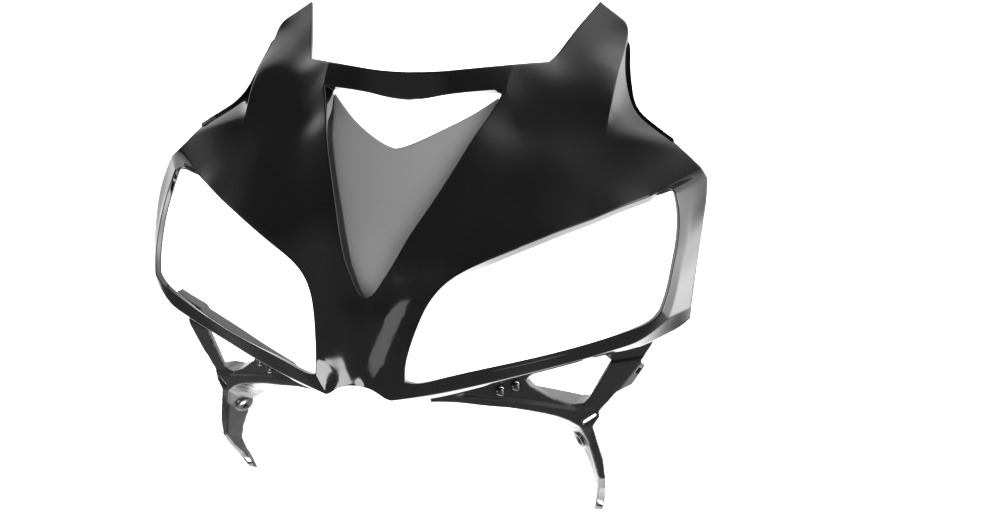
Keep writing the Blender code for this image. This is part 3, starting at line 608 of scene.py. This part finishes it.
class Graph:
    """A node tree, with the ways to add to it."""

    def __init__(self, tree: bpy.types.NodeTree) -> None:
        """Takes over a node tree."""
        self.tree = tree

    def node(self, kind: str, settings: dict[str, object] | None = None,
             inputs: dict[str | int, object] | None = None) -> bpy.types.Node:
        """Adds any node.

        Args:
            kind: Blender's type of the node.
            settings: Its properties, which are set first.
            inputs: The values or links of its sockets, by name or place.

        Returns:
            The node.
        """
        made = self.tree.nodes.new(kind)
        for key, value in (settings or {}).items():
            setattr(made, key, value)
        for key, value in (inputs or {}).items():
            self.feed(made.inputs[key], value)
        return made

    def feed(self, socket: bpy.types.NodeSocket, value: object) -> None:
        """Links a signal to a socket, or sets the socket's own value."""
        if isinstance(value, Signal):
            self.tree.links.new(value.socket, socket)
        else:
            socket.default_value = value

    def signal(self, kind: str, settings: dict[str, object] | None = None,
               inputs: dict[str | int, object] | None = None, output: str | int = 0) -> Signal:
        """Adds any node and wraps one of its outputs."""
        return Signal(self, self.node(kind, settings, inputs).outputs[output])

    def dot(self, vector: Signal, other: np.ndarray) -> Signal:
        """The dot product of a vector signal with a fixed vector."""
        return self.signal("ShaderNodeVectorMath", {"operation": "DOT_PRODUCT"},
                           {0: vector, 1: tuple(other)}, output="Value")


class Paint(Graph):
    """The node tree of one finish."""

    def __init__(self, name: str) -> None:
        """Makes a material with an untouched Principled shader."""
        self.material = bpy.data.materials.new(name)
        self.material.use_nodes = True
        super().__init__(self.material.node_tree)
        self.shader = self.tree.nodes["Principled BSDF"]

    def place(self) -> Signal:
        """The place on the object, in metres."""
        return self.signal("ShaderNodeTexCoord", output="Object")

    def noise(self, size: float, detail: float = 2.0, roughness: float = 0.5) -> Signal:
        """Cloudy noise from 0 to 1 whose blobs are about the given size in metres."""
        return self.signal("ShaderNodeTexNoise", None, {
            "Vector": self.place(), "Scale": 1.0 / size, "Detail": detail, "Roughness": roughness,
        })

    def specks(self, size: float, share: float) -> Signal:
        """Small round specks in a share of the cells of the given size in metres."""
        cells = self.node("ShaderNodeTexVoronoi", None, {"Vector": self.place(), "Scale": 1.0 / size})
        distance = Signal(self, cells.outputs["Distance"])
        pick = self.signal("ShaderNodeSeparateColor", None, {0: Signal(self, cells.outputs["Color"])})
        return (1.0 - distance.between(0.12, 0.3)) * (1.0 - pick.between(share, share + 0.01))

    def attribute(self, name: str) -> Signal:
        """A number that the mesh carries at its points."""
        return self.signal("ShaderNodeAttribute", {"attribute_name": name}, output="Fac")

    def mixed(self, share: Signal, dark: Sequence[float],
              light: Sequence[float] | Signal) -> Signal:
        """Blends a colour by a share into another, or into a colour signal."""
        return self.signal("ShaderNodeMix", {"data_type": "RGBA"}, {
            "Factor": share, 6: (*dark, 1.0),
            7: light if isinstance(light, Signal) else (*light, 1.0),
        }, output=2)

    def bump(self, height: Signal, depth: float, after: Signal | None = None) -> Signal:
        """Raises the surface by a height of 0 to 1 times a depth in metres."""
        inputs: dict[str | int, object] = {"Height": height, "Distance": depth, "Strength": 1.0}
        if after is not None:
            inputs["Normal"] = after
        return self.signal("ShaderNodeBump", None, inputs)

    def finish(self, **inputs: object) -> bpy.types.Material:
        """Feeds the shader's sockets, named in small letters with underscores."""
        for key, value in inputs.items():
            self.feed(self.shader.inputs[key.replace("_", " ").title().replace("Ior", "IOR")], value)
        return self.material


@dataclass(frozen=True)
class GlossBlack:
    """Black plastic that is gloss outside and bare, fine-grained plastic inside."""

    colour: tuple[float, float, float] = (0.0022, 0.0022, 0.0024)
    faded: tuple[float, float, float] = (0.0036, 0.0036, 0.0038)
    bare: tuple[float, float, float] = (0.008, 0.008, 0.0085)
    gloss: float = 0.06
    bare_roughness: float = 0.48
    ripple: float = 0.000012
    grain: float = 0.00005

    def material(self) -> bpy.types.Material:
        """Makes the finish.

        Outside, the colour drifts a little, the roughness rises at faint smears and dust, and a
        slow ripple bends the reflections. Inside, the roughness and a fine grain are even.
        """
        paint = Paint("gloss_black")
        outside = paint.attribute("outside").between(0.45, 0.8)
        drift = paint.noise(0.035, 3.0)
        dust = paint.specks(0.004, 0.05) * outside
        smear = paint.noise(0.02, 4.0, 0.62).between(0.5, 0.8)
        skin = paint.mixed(drift, self.colour, self.faded)
        colour = paint.mixed(outside, self.bare, skin)
        roughness = (outside * (self.gloss + smear * 0.03 + dust * 0.2)
                     + (1.0 - outside) * self.bare_roughness)
        ripple = paint.bump(paint.noise(0.006, 1.0), self.ripple)
        grain = paint.bump((1.0 - outside) * paint.noise(0.0007, 3.0), self.grain, ripple)
        return paint.finish(base_color=colour, roughness=roughness, normal=grain, ior=1.5)


@dataclass(frozen=True)
class SatinPanel:
    """Dark grey moulded plastic with a fine even grain."""

    colour: tuple[float, float, float] = (0.15, 0.15, 0.152)
    light: tuple[float, float, float] = (0.185, 0.185, 0.187)
    roughness: float = 0.42
    grain: float = 0.00004

    def material(self) -> bpy.types.Material:
        """Makes the finish: cloudy colour, uneven sheen and a fine grain."""
        paint = Paint("satin_grey")
        cloud = paint.noise(0.05, 3.0)
        grain = paint.noise(0.0006, 2.0)
        colour = paint.mixed(cloud * 0.8 + grain * 0.2, self.colour, self.light)
        roughness = paint.noise(0.012, 3.0) * 0.1 + self.roughness
        return paint.finish(base_color=colour, roughness=roughness,
                            normal=paint.bump(grain, self.grain))


@dataclass(frozen=True)
class MouldedBlack:
    """Black moulded plastic with a low sheen."""

    colour: tuple[float, float, float] = (0.0035, 0.0035, 0.0037)
    scuffed: tuple[float, float, float] = (0.008, 0.008, 0.0085)
    roughness: float = 0.24
    grain: float = 0.00004

    def material(self) -> bpy.types.Material:
        """Makes the finish: a fine grain, with faint paler scuffs and flow marks."""
        paint = Paint("moulded_black")
        grain = paint.noise(0.0008, 2.0)
        scuff = paint.noise(0.009, 5.0, 0.7).between(0.55, 0.8)
        flow = paint.noise(0.04, 2.0)
        colour = paint.mixed(scuff * 0.6 + flow * 0.3, self.colour, self.scuffed)
        roughness = scuff * 0.12 + flow * 0.08 + self.roughness
        return paint.finish(base_color=colour, roughness=roughness,
                            normal=paint.bump(grain, self.grain))


@dataclass
class Cowl:
    """The gloss black moulding: nose, wings, crossbar, flanks, lower bars and return flanges."""

    skin: Skin
    wall: float = 3.0
    spine_steps: int = 30
    duct_steps: int = 50
    bar_end_steps: int = 10
    shoulder_run_steps: int = 10
    arch_steps: int = 20
    chin_steps: int = 10
    wing_steps: int = 50
    shoulder_steps: int = 20
    foot_steps: int = 10
    corner_steps: int = 16
    flank_steps: int = 36
    lamp_low_steps: int = 80
    bar_steps: int = 36
    lip_steps: int = 8
    return_steps: int = 7
    edges: dict[str, np.ndarray] = field(default_factory=dict)

    def draw_edges(self) -> None:
        """Samples every named edge of one half, with shared corners."""
        skin = self.skin
        facet_steps = self.chin_steps + self.foot_steps
        base_steps = self.arch_steps + self.chin_steps
        middle_steps = self.spine_steps + self.duct_steps + self.bar_end_steps
        on_skin = {
            "spine": (SPINE, self.spine_steps),
            "duct_side": (DUCT_SIDE, self.duct_steps),
            "bar_end": ([DUCT_CORNER, BAR_CORNER], self.bar_end_steps),
            "bar_shoulder": (BAR_SHOULDER, self.shoulder_run_steps),
            "arch": (ARCH, self.arch_steps),
            "chin": ([CHIN_CORNER, LAMP_INNER_CORNER], self.chin_steps),
            "lamp_top": (LAMP_TOP, middle_steps + self.shoulder_run_steps),
            "wing_base": ([WING_ROOT, LAMP_CROWN], base_steps),
            "wing_inner": (WING_INNER, self.wing_steps),
            "wing_top": (WING_TOP, base_steps),
            "wing_crease": (WING_CREASE, self.wing_steps),
            "lamp_crown": (LAMP_CROWN_EDGE, self.shoulder_steps),
            "facet_edge": (FACET_EDGE, facet_steps),
            "wing_rear": (WING_REAR, self.shoulder_steps + facet_steps),
            "shoulder_rear": (SHOULDER_REAR, self.wing_steps),
        }
        edges = {name: skin.curve(points, count) for name, (points, count) in on_skin.items()}
        lamp_inner, facet_start = edges["chin"][-1], edges["facet_edge"][0]
        free = {
            "flank_top": ([LAMP_OUTER_CORNER, FLANK_TOP], facet_steps),
            "lamp_side": (LAMP_SIDE, self.flank_steps),
            "flank_rear": (FLANK_REAR, self.flank_steps),
            "bar_foot": ([LAMP_LOW_CORNER, BAR_FOOT], self.chin_steps),
            "flank_foot": ([BAR_FOOT, FLANK_FOOT], self.foot_steps),
            "lip_arch": (LIP_ARCH, self.arch_steps),
            "lip_edge": (LIP_EDGE, self.lamp_low_steps),
            "lip_end": (LIP_END, self.foot_steps),
            "bar_middle": ([BAR_BOTTOM[0], BAR_TOP[0]], self.bar_end_steps),
            "facet_rear": ([edges["facet_edge"][-1], FLANK_TOP], self.corner_steps),
            "lamp_corner": ([facet_start, *LAMP_CORNER[1:]], self.corner_steps),
            "lamp_low": ([*LAMP_LOW[:-1], lamp_inner], self.lamp_low_steps),
            "chin_edge": ([edges["chin"][0], *CHIN_EDGE[1:]], self.lamp_low_steps),
            "bar_top": ([*BAR_TOP[:-1], edges["bar_end"][-1]], self.bar_steps),
            "bar_bottom": ([*BAR_BOTTOM[:-1], edges["bar_end"][0]], self.bar_steps),
        }
        edges |= {name: sampled(points, count) for name, (points, count) in free.items()}
        self.edges = edges

    def lamp_return(self) -> np.ndarray:
        """The return flange once round the lamp opening."""
        runs = [("lamp_top", LAMP_RETURN), ("lamp_crown", LAMP_CROWN_RETURN),
                ("lamp_corner", LAMP_CORNER_RETURN), ("lamp_side", LAMP_SIDE_RETURN),
                ("lamp_low", LAMP_LOW_RETURN)]
        edge = joined(*(self.edges[name] for name, _ in runs))
        reach = joined(*(reach_along(stations, self.edges[name]) for name, stations in runs))
        return ribbon(edge, edge + reach, self.return_steps)

    def duct_return(self) -> np.ndarray:
        """The return flange along the crossbar and down one side of the duct's mouth."""
        bar, side = self.edges["bar_bottom"], self.edges["duct_side"]
        edge = joined(bar, side[::-1])
        reach = joined(reach_along(BAR_RETURN, bar), reach_along(DUCT_RETURN, side)[::-1])
        return ribbon(edge, edge + reach, self.return_steps)

    def grids(self) -> list[np.ndarray]:
        """The outer faces of one half, as grids that share the points of their edges."""
        edge, skin = self.edges, self.skin
        middle = joined(edge["spine"], edge["duct_side"], edge["bar_end"], edge["bar_shoulder"])
        lamp_rim = joined(edge["lamp_crown"], edge["facet_edge"])
        lip_top = joined(edge["arch"], edge["chin_edge"], edge["flank_foot"])
        lip_bottom = joined(edge["lip_arch"], edge["lip_edge"], edge["lip_end"])
        return [
            skin.patch(joined(edge["arch"], edge["chin"]), edge["wing_base"], middle,
                       edge["lamp_top"]),
            skin.patch(edge["wing_base"], edge["wing_top"], edge["wing_inner"],
                       edge["wing_crease"]),
            skin.patch(lamp_rim, edge["wing_rear"], edge["wing_crease"], edge["shoulder_rear"]),
            patch(edge["lamp_corner"], edge["facet_rear"], edge["facet_edge"], edge["flank_top"]),
            patch(joined(edge["bar_foot"], edge["flank_foot"]), edge["flank_top"],
                  edge["lamp_side"][::-1], edge["flank_rear"][::-1]),
            patch(edge["chin_edge"], edge["lamp_low"][::-1], edge["chin"], edge["bar_foot"][::-1]),
            patch(edge["bar_bottom"], edge["bar_top"], edge["bar_middle"], edge["bar_end"]),
            np.swapaxes(ribbon(lip_bottom, lip_top, self.lip_steps), 0, 1),
            self.lamp_return(),
            self.duct_return(),
        ]

    def shell(self) -> Shell:
        """The closed moulding, both halves in one."""
        return Shell.of(Sheet.from_grids(self.grids(), mirror=True), self.wall)


@dataclass
class DuctFloor:
    """The satin panel that closes the lower part of the duct's mouth."""

    skin: Skin
    duct_side: np.ndarray
    wall: float = 2.5
    gap: float = 0.5
    crown: float = 0.002
    tuck: float = 2.6
    tuck_dip: float = 1.7
    middle: float = 177.0
    top_share: float = 0.85
    sag_power: float = 1.45
    steps: int = 26

    def grid(self) -> np.ndarray:
        """One half of the top face, as rows from the middle out to the tuck behind the flange.

        The rim follows the end of the return flange. A row's x is a share of the rim's. Its place
        up the plane is the rim's less a sag that fades outwards, and its height is the rim's plus
        a crown: a number times the squared half width less the squared x.
        """
        reach = reach_along(DUCT_RETURN, self.duct_side)
        length = np.linalg.norm(reach, axis=1, keepdims=True)
        rim = self.skin.leaning(self.duct_side + reach * (1 + self.gap / length))
        share = shares_of(rim)
        keep = np.linspace(0, 1 - (1 - self.top_share) * (1 - share[-6]), len(rim))
        rim = np.stack([np.interp(keep, share, part) for part in rim.T], axis=1)
        out = np.gradient(rim[:, :2], axis=0)[:, ::-1] * (1, -1)
        out /= np.linalg.norm(out, axis=1, keepdims=True)
        across = row_shares(rim[:, 0].max(), self.steps)
        sag = (rim[-1, 1] - self.middle) * np.linspace(0, 1, len(rim))
        x = across[:, None] * rim[:, 0]
        up = rim[:, 1] - sag * (1 - across[:, None] ** self.sag_power)
        width, level = (np.interp(up, rim[:, 1], rim[:, part]) for part in (0, 2))
        top = self.skin.upright(x, up, level + self.crown * (width**2 - x**2))
        tuck = self.skin.upright(*(rim[:, :2] + self.tuck * out).T, rim[:, 2] - self.tuck_dip)
        halfway = (top[-1] + tuck) / 2
        return np.concatenate([top, halfway[None], tuck[None]])

    def shell(self) -> Shell:
        """The closed panel, both halves in one."""
        return Shell.of(Sheet.from_grids([self.grid()], mirror=True), self.wall, 2, 2)


def even_skin(source: bpy.types.Mesh, square: float) -> Sheet:
    """Covers a closed solid with one even skin of small squares.

    Args:
        source: The solid's mesh, in metres, which stays as it is.
        square: The squares' size in millimetres.

    Returns:
        The skin, in millimetres.
    """
    thing = linked("even_skin", source.copy())
    change = thing.modifiers.new("skin", "REMESH")
    change.mode = "VOXEL"
    change.voxel_size = square * MM
    done = thing.evaluated_get(bpy.context.evaluated_depsgraph_get()).to_mesh()
    points = np.empty(len(done.vertices) * 3)
    quads = np.empty(len(done.loops), np.int32)
    done.vertices.foreach_get("co", points)
    done.loops.foreach_get("vertex_index", quads)
    bpy.data.objects.remove(thing)
    return Sheet(points.reshape(-1, 3) / MM, quads.reshape(-1, 4).astype(np.int64))


@dataclass(frozen=True)
class Step:
    """A line across the bracket's face, as (x, z), above which the face lies further back."""

    line: tuple[tuple[float, float], ...]
    depth: float
    ease: float = 1.0
    run_in: float = 6.0

    def back(self, points: np.ndarray) -> np.ndarray:
        """How far back each point goes: all of the depth above the line, and none below.

        The change is a smooth step over the ease, upwards from the line. It grows evenly from
        nothing over the first stretch of the line.
        """
        x, z = np.asarray(self.line).T
        share = np.clip((points[:, 2] - np.interp(points[:, 0], x, z)) / self.ease, 0, 1)
        inside = np.clip((points[:, 0] - x[0]) / self.run_in, 0, 1)
        return self.depth * inside * share * share * (3 - 2 * share)


@dataclass
class Bracket:
    """The right lower bracket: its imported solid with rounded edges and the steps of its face."""

    square: float = 0.7
    rounds: int = 3
    crease: Step = Step(((62.0, -15.1), (93.1, -21.3), (113.2, -25.7), (142.1, -33.6),
                         (157.0, -35.0), (230.0, -35.0)), 2.2, 1.5)
    ledge: Step = Step(((160.0, -0.6), (166.1, 0.2), (187.3, 2.2), (230.0, 5.0)), 3.4, 1.0)
    face_point: tuple[float, float] = (95.0, 45.0)
    face_slope: float = 0.43
    window_side: tuple[tuple[float, float], ...] = ((147.0, -29.6), (150.8, -25.5), (158.5, -12.5),
                                                    (166.0, 1.0), (170.0, 6.5))
    side_depth: float = 3.6
    side_reach: float = 5.5
    side_fade: float = 1.5
    side_share: float = 0.95
    side_corners: tuple[float, ...] = (146.0, -30.0, 7.0)
    corner_fade: float = 3.0
    boss: Point = (136.8, 83.1, -65.1)
    boss_axis: Point = (-0.6838, -0.652578, -0.326434)
    boss_growth: float = 1.1
    boss_rim: float = 6.4
    boss_fade: float = 2.6
    boss_height: float = 7.0

    def thinned(self, points: np.ndarray) -> np.ndarray:
        """Draws the window's wall beside the arm forward, to little more than the plate's own.

        It fades out away from the window's side, and past that side's least x, least z and
        greatest z.
        """
        x, z = np.asarray(self.window_side).T
        inner, foot, head = self.side_corners
        beside = points[:, 0] - np.interp(points[:, 2], z, x)
        near = np.clip((self.side_reach - abs(beside)) / self.side_fade, 0, 1)
        for past in (points[:, 0] - inner, points[:, 2] - foot, head - points[:, 2]):
            near = near * np.clip(past / self.corner_fade, 0, 1)
        face = self.face_point[1] + self.face_slope * (points[:, 0] - self.face_point[0])
        extra = np.maximum(points[:, 1] - face - self.side_depth, 0)
        return points - (extra * near * self.side_share)[:, None] * (0.0, 1.0, 0.0)

    def widened(self, points: np.ndarray) -> np.ndarray:
        """Moves the wall of the boss's hole outwards, square to its axis."""
        axis = np.asarray(self.boss_axis)
        away = points - self.boss
        along = away @ axis
        out = away - along[:, None] * axis
        radius = np.maximum(np.linalg.norm(out, axis=1), 1e-9)
        share = np.clip((self.boss_rim - radius) / self.boss_fade, 0, 1) * (abs(along) < self.boss_height)
        return points + out / radius[:, None] * (self.boss_growth * share)[:, None]

    def sheet(self, solid: bpy.types.Mesh, shift: np.ndarray) -> Sheet:
        """The right bracket's skin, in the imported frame."""
        skin = even_skin(solid, self.square).relaxed(self.rounds)
        points = self.widened(self.thinned(skin.points - shift))
        back = self.crease.back(points) + self.ledge.back(points)
        points = points + back[:, None] * (0.0, 1.0, 0.0) + shift
        return Sheet(points, skin.quads).relaxed(2)


@dataclass
class Rivet:
    """A push rivet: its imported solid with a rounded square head."""

    square: float = 0.3
    rounds: int = 2
    corner: float = 4.0
    shank: float = 1.9
    shank_fade: float = 1.0
    slimming: float = 0.93

    def sheet(self, solid: bpy.types.Mesh) -> Sheet:
        """The rivet's skin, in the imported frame.

        Around the rivet's axis, a circle is squared: each radius is divided by the power mean of
        the cosine and the sine of its angle.
        """
        skin = even_skin(solid, self.square).relaxed(self.rounds)
        middle = (skin.points.min(axis=0) + skin.points.max(axis=0)) / 2
        away = skin.points - middle
        across, up = away[:, 0], away[:, 2]
        radius = np.hypot(across, up) + 1e-9
        mean = (abs(across / radius)**self.corner + abs(up / radius)**self.corner)**(1 / self.corner)
        near = np.clip((radius - self.shank) / self.shank_fade, 0, 1)[:, None]
        away[:, ::2] /= 1 + (mean[:, None] - 1) * near
        return Sheet(middle + away * (self.slimming, 1.0, self.slimming), skin.quads)


def mirrored(sheet: Sheet) -> Sheet:
    """The sheet on the other side of the middle."""
    return Sheet(sheet.points * (-1, 1, 1), sheet.quads[:, ::-1])


def toward(azimuth: float, elevation: float) -> np.ndarray:
    """The direction at degrees round to the right from the front, and degrees up."""
    turn, rise = math.radians(azimuth), math.radians(elevation)
    level = math.cos(rise)
    return np.array([math.sin(turn) * level, -math.cos(turn) * level, math.sin(rise)])


@dataclass(frozen=True)
class Glow:
    """A soft light in the room around the part, brightest at one direction."""

    azimuth: float
    elevation: float
    strength: float
    sharpness: float

    def light(self, graph: Graph, direction: Signal) -> Signal:
        """The strength times the exponential of the sharpness times the cosine less one."""
        cosine = graph.dot(direction, toward(self.azimuth, self.elevation))
        return ((cosine - 1.0) * self.sharpness).math("EXPONENT") * self.strength


@dataclass(frozen=True)
class Card:
    """A white card near the part that only its gloss shows: a band between two lines."""

    name: str
    lower: tuple[Point, ...]
    upper: tuple[Point, ...]
    strength: float
    steps: int = 24

    def build(self) -> None:
        """Hangs the card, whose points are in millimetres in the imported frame."""
        share = np.linspace(0, 1, self.steps)
        lines = np.stack([smooth_curve(line)(share) for line in (self.lower, self.upper)])
        sheet = Sheet.from_grids([lines], mirror=False)
        data = mesh_of(self.name, sheet, np.zeros(3))
        paint = Paint(self.name)
        glow = paint.signal("ShaderNodeEmission", None, {"Strength": self.strength})
        paint.feed(paint.tree.nodes["Material Output"].inputs["Surface"], glow)
        data.materials.append(paint.material)
        thing = linked(self.name, data)
        thing.visible_camera = thing.visible_diffuse = thing.visible_shadow = False
        thing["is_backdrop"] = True


CARDS = (
    Card(
        name="strip_card",
        lower=((15.2, -347.0, 160.0), (-4.0, -347.0, 156.0), (-22.8, -347.0, 151.0),
               (-32.0, -352.5, 142.0), (-50.4, -361.9, 116.5), (-84.3, -360.6, 98.9),
               (-98.6, -359.2, 92.3), (-107.3, -359.5, 85.8)),
        upper=((73.7, -339.0, 163.5), (65.4, -341.0, 160.0), (50.0, -348.0, 153.0),
               (22.1, -354.5, 142.9), (5.2, -361.4, 129.4), (-23.1, -369.8, 107.4),
               (-39.3, -378.5, 83.3), (-27.7, -390.3, 61.9)),
        strength=2.6),
    Card(
        name="zigzag_card",
        lower=((-265.0, -300.0, -58.0), (-270.0, -285.0, -70.0), (-265.0, -300.0, -88.0),
               (-203.2, -322.4, -110.0), (-123.6, -327.8, -153.3), (-111.4, -385.0, 28.3)),
        upper=((-243.0, -318.0, 0.0), (-229.8, -324.8, 4.6), (-225.2, -323.7, 14.1),
               (-210.0, -328.1, 33.2), (-157.9, -348.6, 72.0), (-114.3, -378.4, 44.8)),
        strength=12.0),
)


@dataclass(frozen=True)
class Room:
    """What the gloss reflects: dim ahead, lighter low down and behind, with a few lights."""

    ahead: float = 0.12
    low: float = 0.2
    behind: float = 1.1
    low_rise: tuple[float, float] = (0.38, 0.6)
    behind_rise: tuple[float, float] = (0.12, 0.34)
    lights: tuple[Glow, ...] = (
        Glow(74, 22, 10.0, 30.0),
        Glow(84, -3, 13.0, 25.0),
        Glow(95, 0, 2.0, 6.0),
        Glow(130, 20, 3.5, 6.0),
        Glow(96, 50, 1.6, 20.0),
        Glow(125, 74, 1.6, 30.0),
        Glow(-112, 12, 1.0, 30.0),
        Glow(180, -45, 3.0, 5.0),
        Glow(150, -82, 6.0, 9.0),
        Glow(-60, -58, 7.5, 30.0),
    )

    def brightness(self, graph: Graph) -> Signal:
        """Adds up the room's light by direction."""
        direction = graph.signal("ShaderNodeTexCoord", output="Generated")
        level = 1.0 - graph.dot(direction, toward(0, 90)).between(*self.low_rise)
        back = graph.dot(direction, toward(180, 0)).between(*self.behind_rise)
        total = level * self.low + back * back * (3.0 - 2.0 * back) * self.behind + self.ahead
        for light in self.lights:
            total = total + light.light(graph, direction)
        return total


@dataclass
class Studio:
    """The pale floor, the lights and the camera.

    The camera stands where the photograph was taken from. Its place is in the working frame. It
    looks from the azimuth and the elevation, in degrees, and is rolled a little.
    """

    camera_place: Point = (375.7, -763.2, 378.5)
    azimuth: float = 19.04
    elevation: float = 18.98
    roll: float = -2.72
    lens: float = 46.8
    sensor: float = 36.0
    floor_gap: float = 0.012
    floor_radius: float = 3.0
    floor_steps: int = 96
    backdrop: float = 1.2
    key_place: Point = (-0.5, -1.7, 1.2)
    key_size: tuple[float, float] = (1.6, 1.0)
    key_power: float = 13.0

    def camera(self, shift: np.ndarray) -> None:
        """Makes the camera and gives it to the scene."""
        azimuth, roll = math.radians(self.azimuth), math.radians(self.roll)
        back = Vector(toward(self.azimuth, self.elevation))
        level = Vector((math.cos(azimuth), math.sin(azimuth), 0.0))
        turn = Matrix((level, back.cross(level), back)).transposed()
        data = bpy.data.cameras.new("photo_camera")
        data.lens = self.lens
        data.sensor_width = self.sensor
        eye = linked("photo_camera", data)
        eye.matrix_world = (Matrix.Translation((np.array(self.camera_place) + shift) * MM)
                            @ (turn @ Matrix.Rotation(roll, 3, "Z")).to_4x4())
        bpy.context.scene.camera = eye

    def floor(self, lowest: float) -> None:
        """Lays a round white floor under the part, which the gloss doesn't show.

        Args:
            lowest: The height of the part's lowest point.
        """
        angle = np.linspace(0, math.tau, self.floor_steps, endpoint=False)
        ring = np.stack([np.cos(angle), np.sin(angle), np.zeros_like(angle)], axis=1)
        ring = ring * self.floor_radius + (0, 0, lowest - self.floor_gap)
        data = bpy.data.meshes.new("floor")
        data.from_pydata(ring.tolist(), [], [list(range(len(ring)))])
        paint = Paint("studio_white")
        cloud = paint.noise(0.8, 2.0)
        data.materials.append(paint.finish(
            base_color=paint.mixed(cloud, (0.86, 0.86, 0.86), (0.9, 0.9, 0.9)), roughness=0.9,
            emission_color=(1.0, 1.0, 1.0, 1.0), emission_strength=1.0))
        thing = linked("floor", data)
        thing.visible_glossy = False
        thing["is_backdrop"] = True

    def surroundings(self) -> None:
        """Makes the world: white behind the part, and the room in its reflections."""
        world = bpy.data.worlds.new("studio")
        world.use_nodes = True
        graph = Graph(world.node_tree)
        room = graph.signal("ShaderNodeBackground", None,
                            {"Color": (1.0, 1.0, 1.0, 1.0), "Strength": Room().brightness(graph)})
        white = graph.signal("ShaderNodeBackground", None,
                             {"Color": (1.0, 1.0, 1.0, 1.0), "Strength": self.backdrop})
        seen = graph.signal("ShaderNodeLightPath", output="Is Camera Ray")
        mixed = graph.signal("ShaderNodeMixShader", None, {0: seen, 1: room, 2: white})
        graph.feed(world.node_tree.nodes["World Output"].inputs["Surface"], mixed)
        bpy.context.scene.world = world

    def light(self, name: str, place: Point, size: tuple[float, float], power: float) -> None:
        """Hangs one soft box that lights the part but isn't mirrored in it.

        Args:
            name: The light's name.
            place: Where its middle is. It faces the part's middle.
            size: Its width and height.
            power: Its power in watts.
        """
        data = bpy.data.lights.new(name, "AREA")
        data.shape = "RECTANGLE"
        data.size, data.size_y = size
        data.energy = power
        lamp = linked(name, data)
        lamp.location = place
        lamp.rotation_euler = (-Vector(place)).to_track_quat("-Z", "Y").to_euler()
        lamp.visible_glossy = False

    def build(self, lowest: float, shift: np.ndarray) -> None:
        """Sets up the whole studio."""
        self.camera(shift)
        self.floor(lowest)
        self.surroundings()
        for card in CARDS:
            card.build()
        self.light("key_box", self.key_place, self.key_size, self.key_power)
        scene = bpy.context.scene
        scene.view_settings.view_transform = "Standard"
        scene.view_settings.look = "None"


def add_piece(name: str, data: bpy.types.Mesh, material: bpy.types.Material, node: str) -> bpy.types.Object:
    """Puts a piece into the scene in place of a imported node.

    Args:
        name: The piece's name.
        data: Its mesh, in place.
        material: Its finish.
        node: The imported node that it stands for.

    Returns:
        The piece.
    """
    data.materials.clear()
    data.materials.append(material)
    piece = linked(name, data)
    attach(piece, "root")
    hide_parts(node)
    LOG.info("%s: %d faces in place of %s", name, len(data.polygons), node)
    return piece


def shell_mesh(name: str, shell: Shell, shift: np.ndarray) -> bpy.types.Mesh:
    """A shell's mesh, which carries how far outside each point is."""
    data = mesh_of(name, shell.sheet, shift)
    outside = data.attributes.new("outside", "FLOAT", "POINT")
    outside.data.foreach_set("value", shell.outside.astype(np.float32))
    return data


def packed_shift(sheet: Sheet, node: str) -> np.ndarray:
    """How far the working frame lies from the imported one, in millimetres.

    Args:
        sheet: A node's outer face in the working frame.
        node: That node, whose foremost and highest points are on its outer face.

    Returns:
        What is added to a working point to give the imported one.
    """
    low, high = (np.array(corner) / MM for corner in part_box(node))
    return np.array([0.0, low[1] - sheet.points[:, 1].min(), high[2] - sheet.points[:, 2].max()])


def main() -> None:
    """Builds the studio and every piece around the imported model."""
    logging.basicConfig(level=logging.INFO, format="%(message)s")
    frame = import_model()
    packed = [list(corner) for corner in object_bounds()]
    skin = Skin()
    skin.fit(list(dict.fromkeys(
        SPINE + DUCT_SIDE + [BAR_CORNER] + BAR_SHOULDER + ARCH + LAMP_TOP + LAMP_CROWN_EDGE
        + WING_INNER + WING_TOP + WING_CREASE + FACET_EDGE + WING_REAR[1:] + SHOULDER_REAR[1:-1]
        + CHEEK + NOSE_SIDE)), WING_CREASE)
    cowl = Cowl(skin)
    cowl.draw_edges()
    outer = Sheet.from_grids(cowl.grids(), mirror=True)
    shift = packed_shift(outer, "cowl")
    LOG.info("shift %s", shift)
    gloss, satin, moulded = GlossBlack().material(), SatinPanel().material(), MouldedBlack().material()
    add_piece("gloss_cowl", shell_mesh("gloss_cowl", cowl.shell(), shift), gloss, "cowl")
    floor = DuctFloor(skin, cowl.edges["duct_side"])
    add_piece("satin_duct_floor", shell_mesh("satin_duct_floor", floor.shell(), shift), satin,
              "duct_floor")
    solids = {node: thing.data for node, thing in frame["nodes"].items()}
    fittings = {
        "bracket": (Bracket().sheet(solids["right_bracket"], shift), "black_bracket"),
        "inner_rivet": (Rivet().sheet(solids["right_inner_rivet"]), "black_rivet"),
        "outer_rivet": (Rivet().sheet(solids["right_outer_rivet"]), "black_rivet"),
    }
    for name, (sheet, slot) in fittings.items():
        for side in Side:
            node = f"{side.name.lower()}_{name}"
            laid = sheet if side is Side.RIGHT else mirrored(sheet)
            add_piece(f"moulded_{node}", mesh_of(node, laid, np.zeros(3)), moulded, node)
    Studio().build(packed[0][2], shift)


if __name__ == "__main__":
    main()
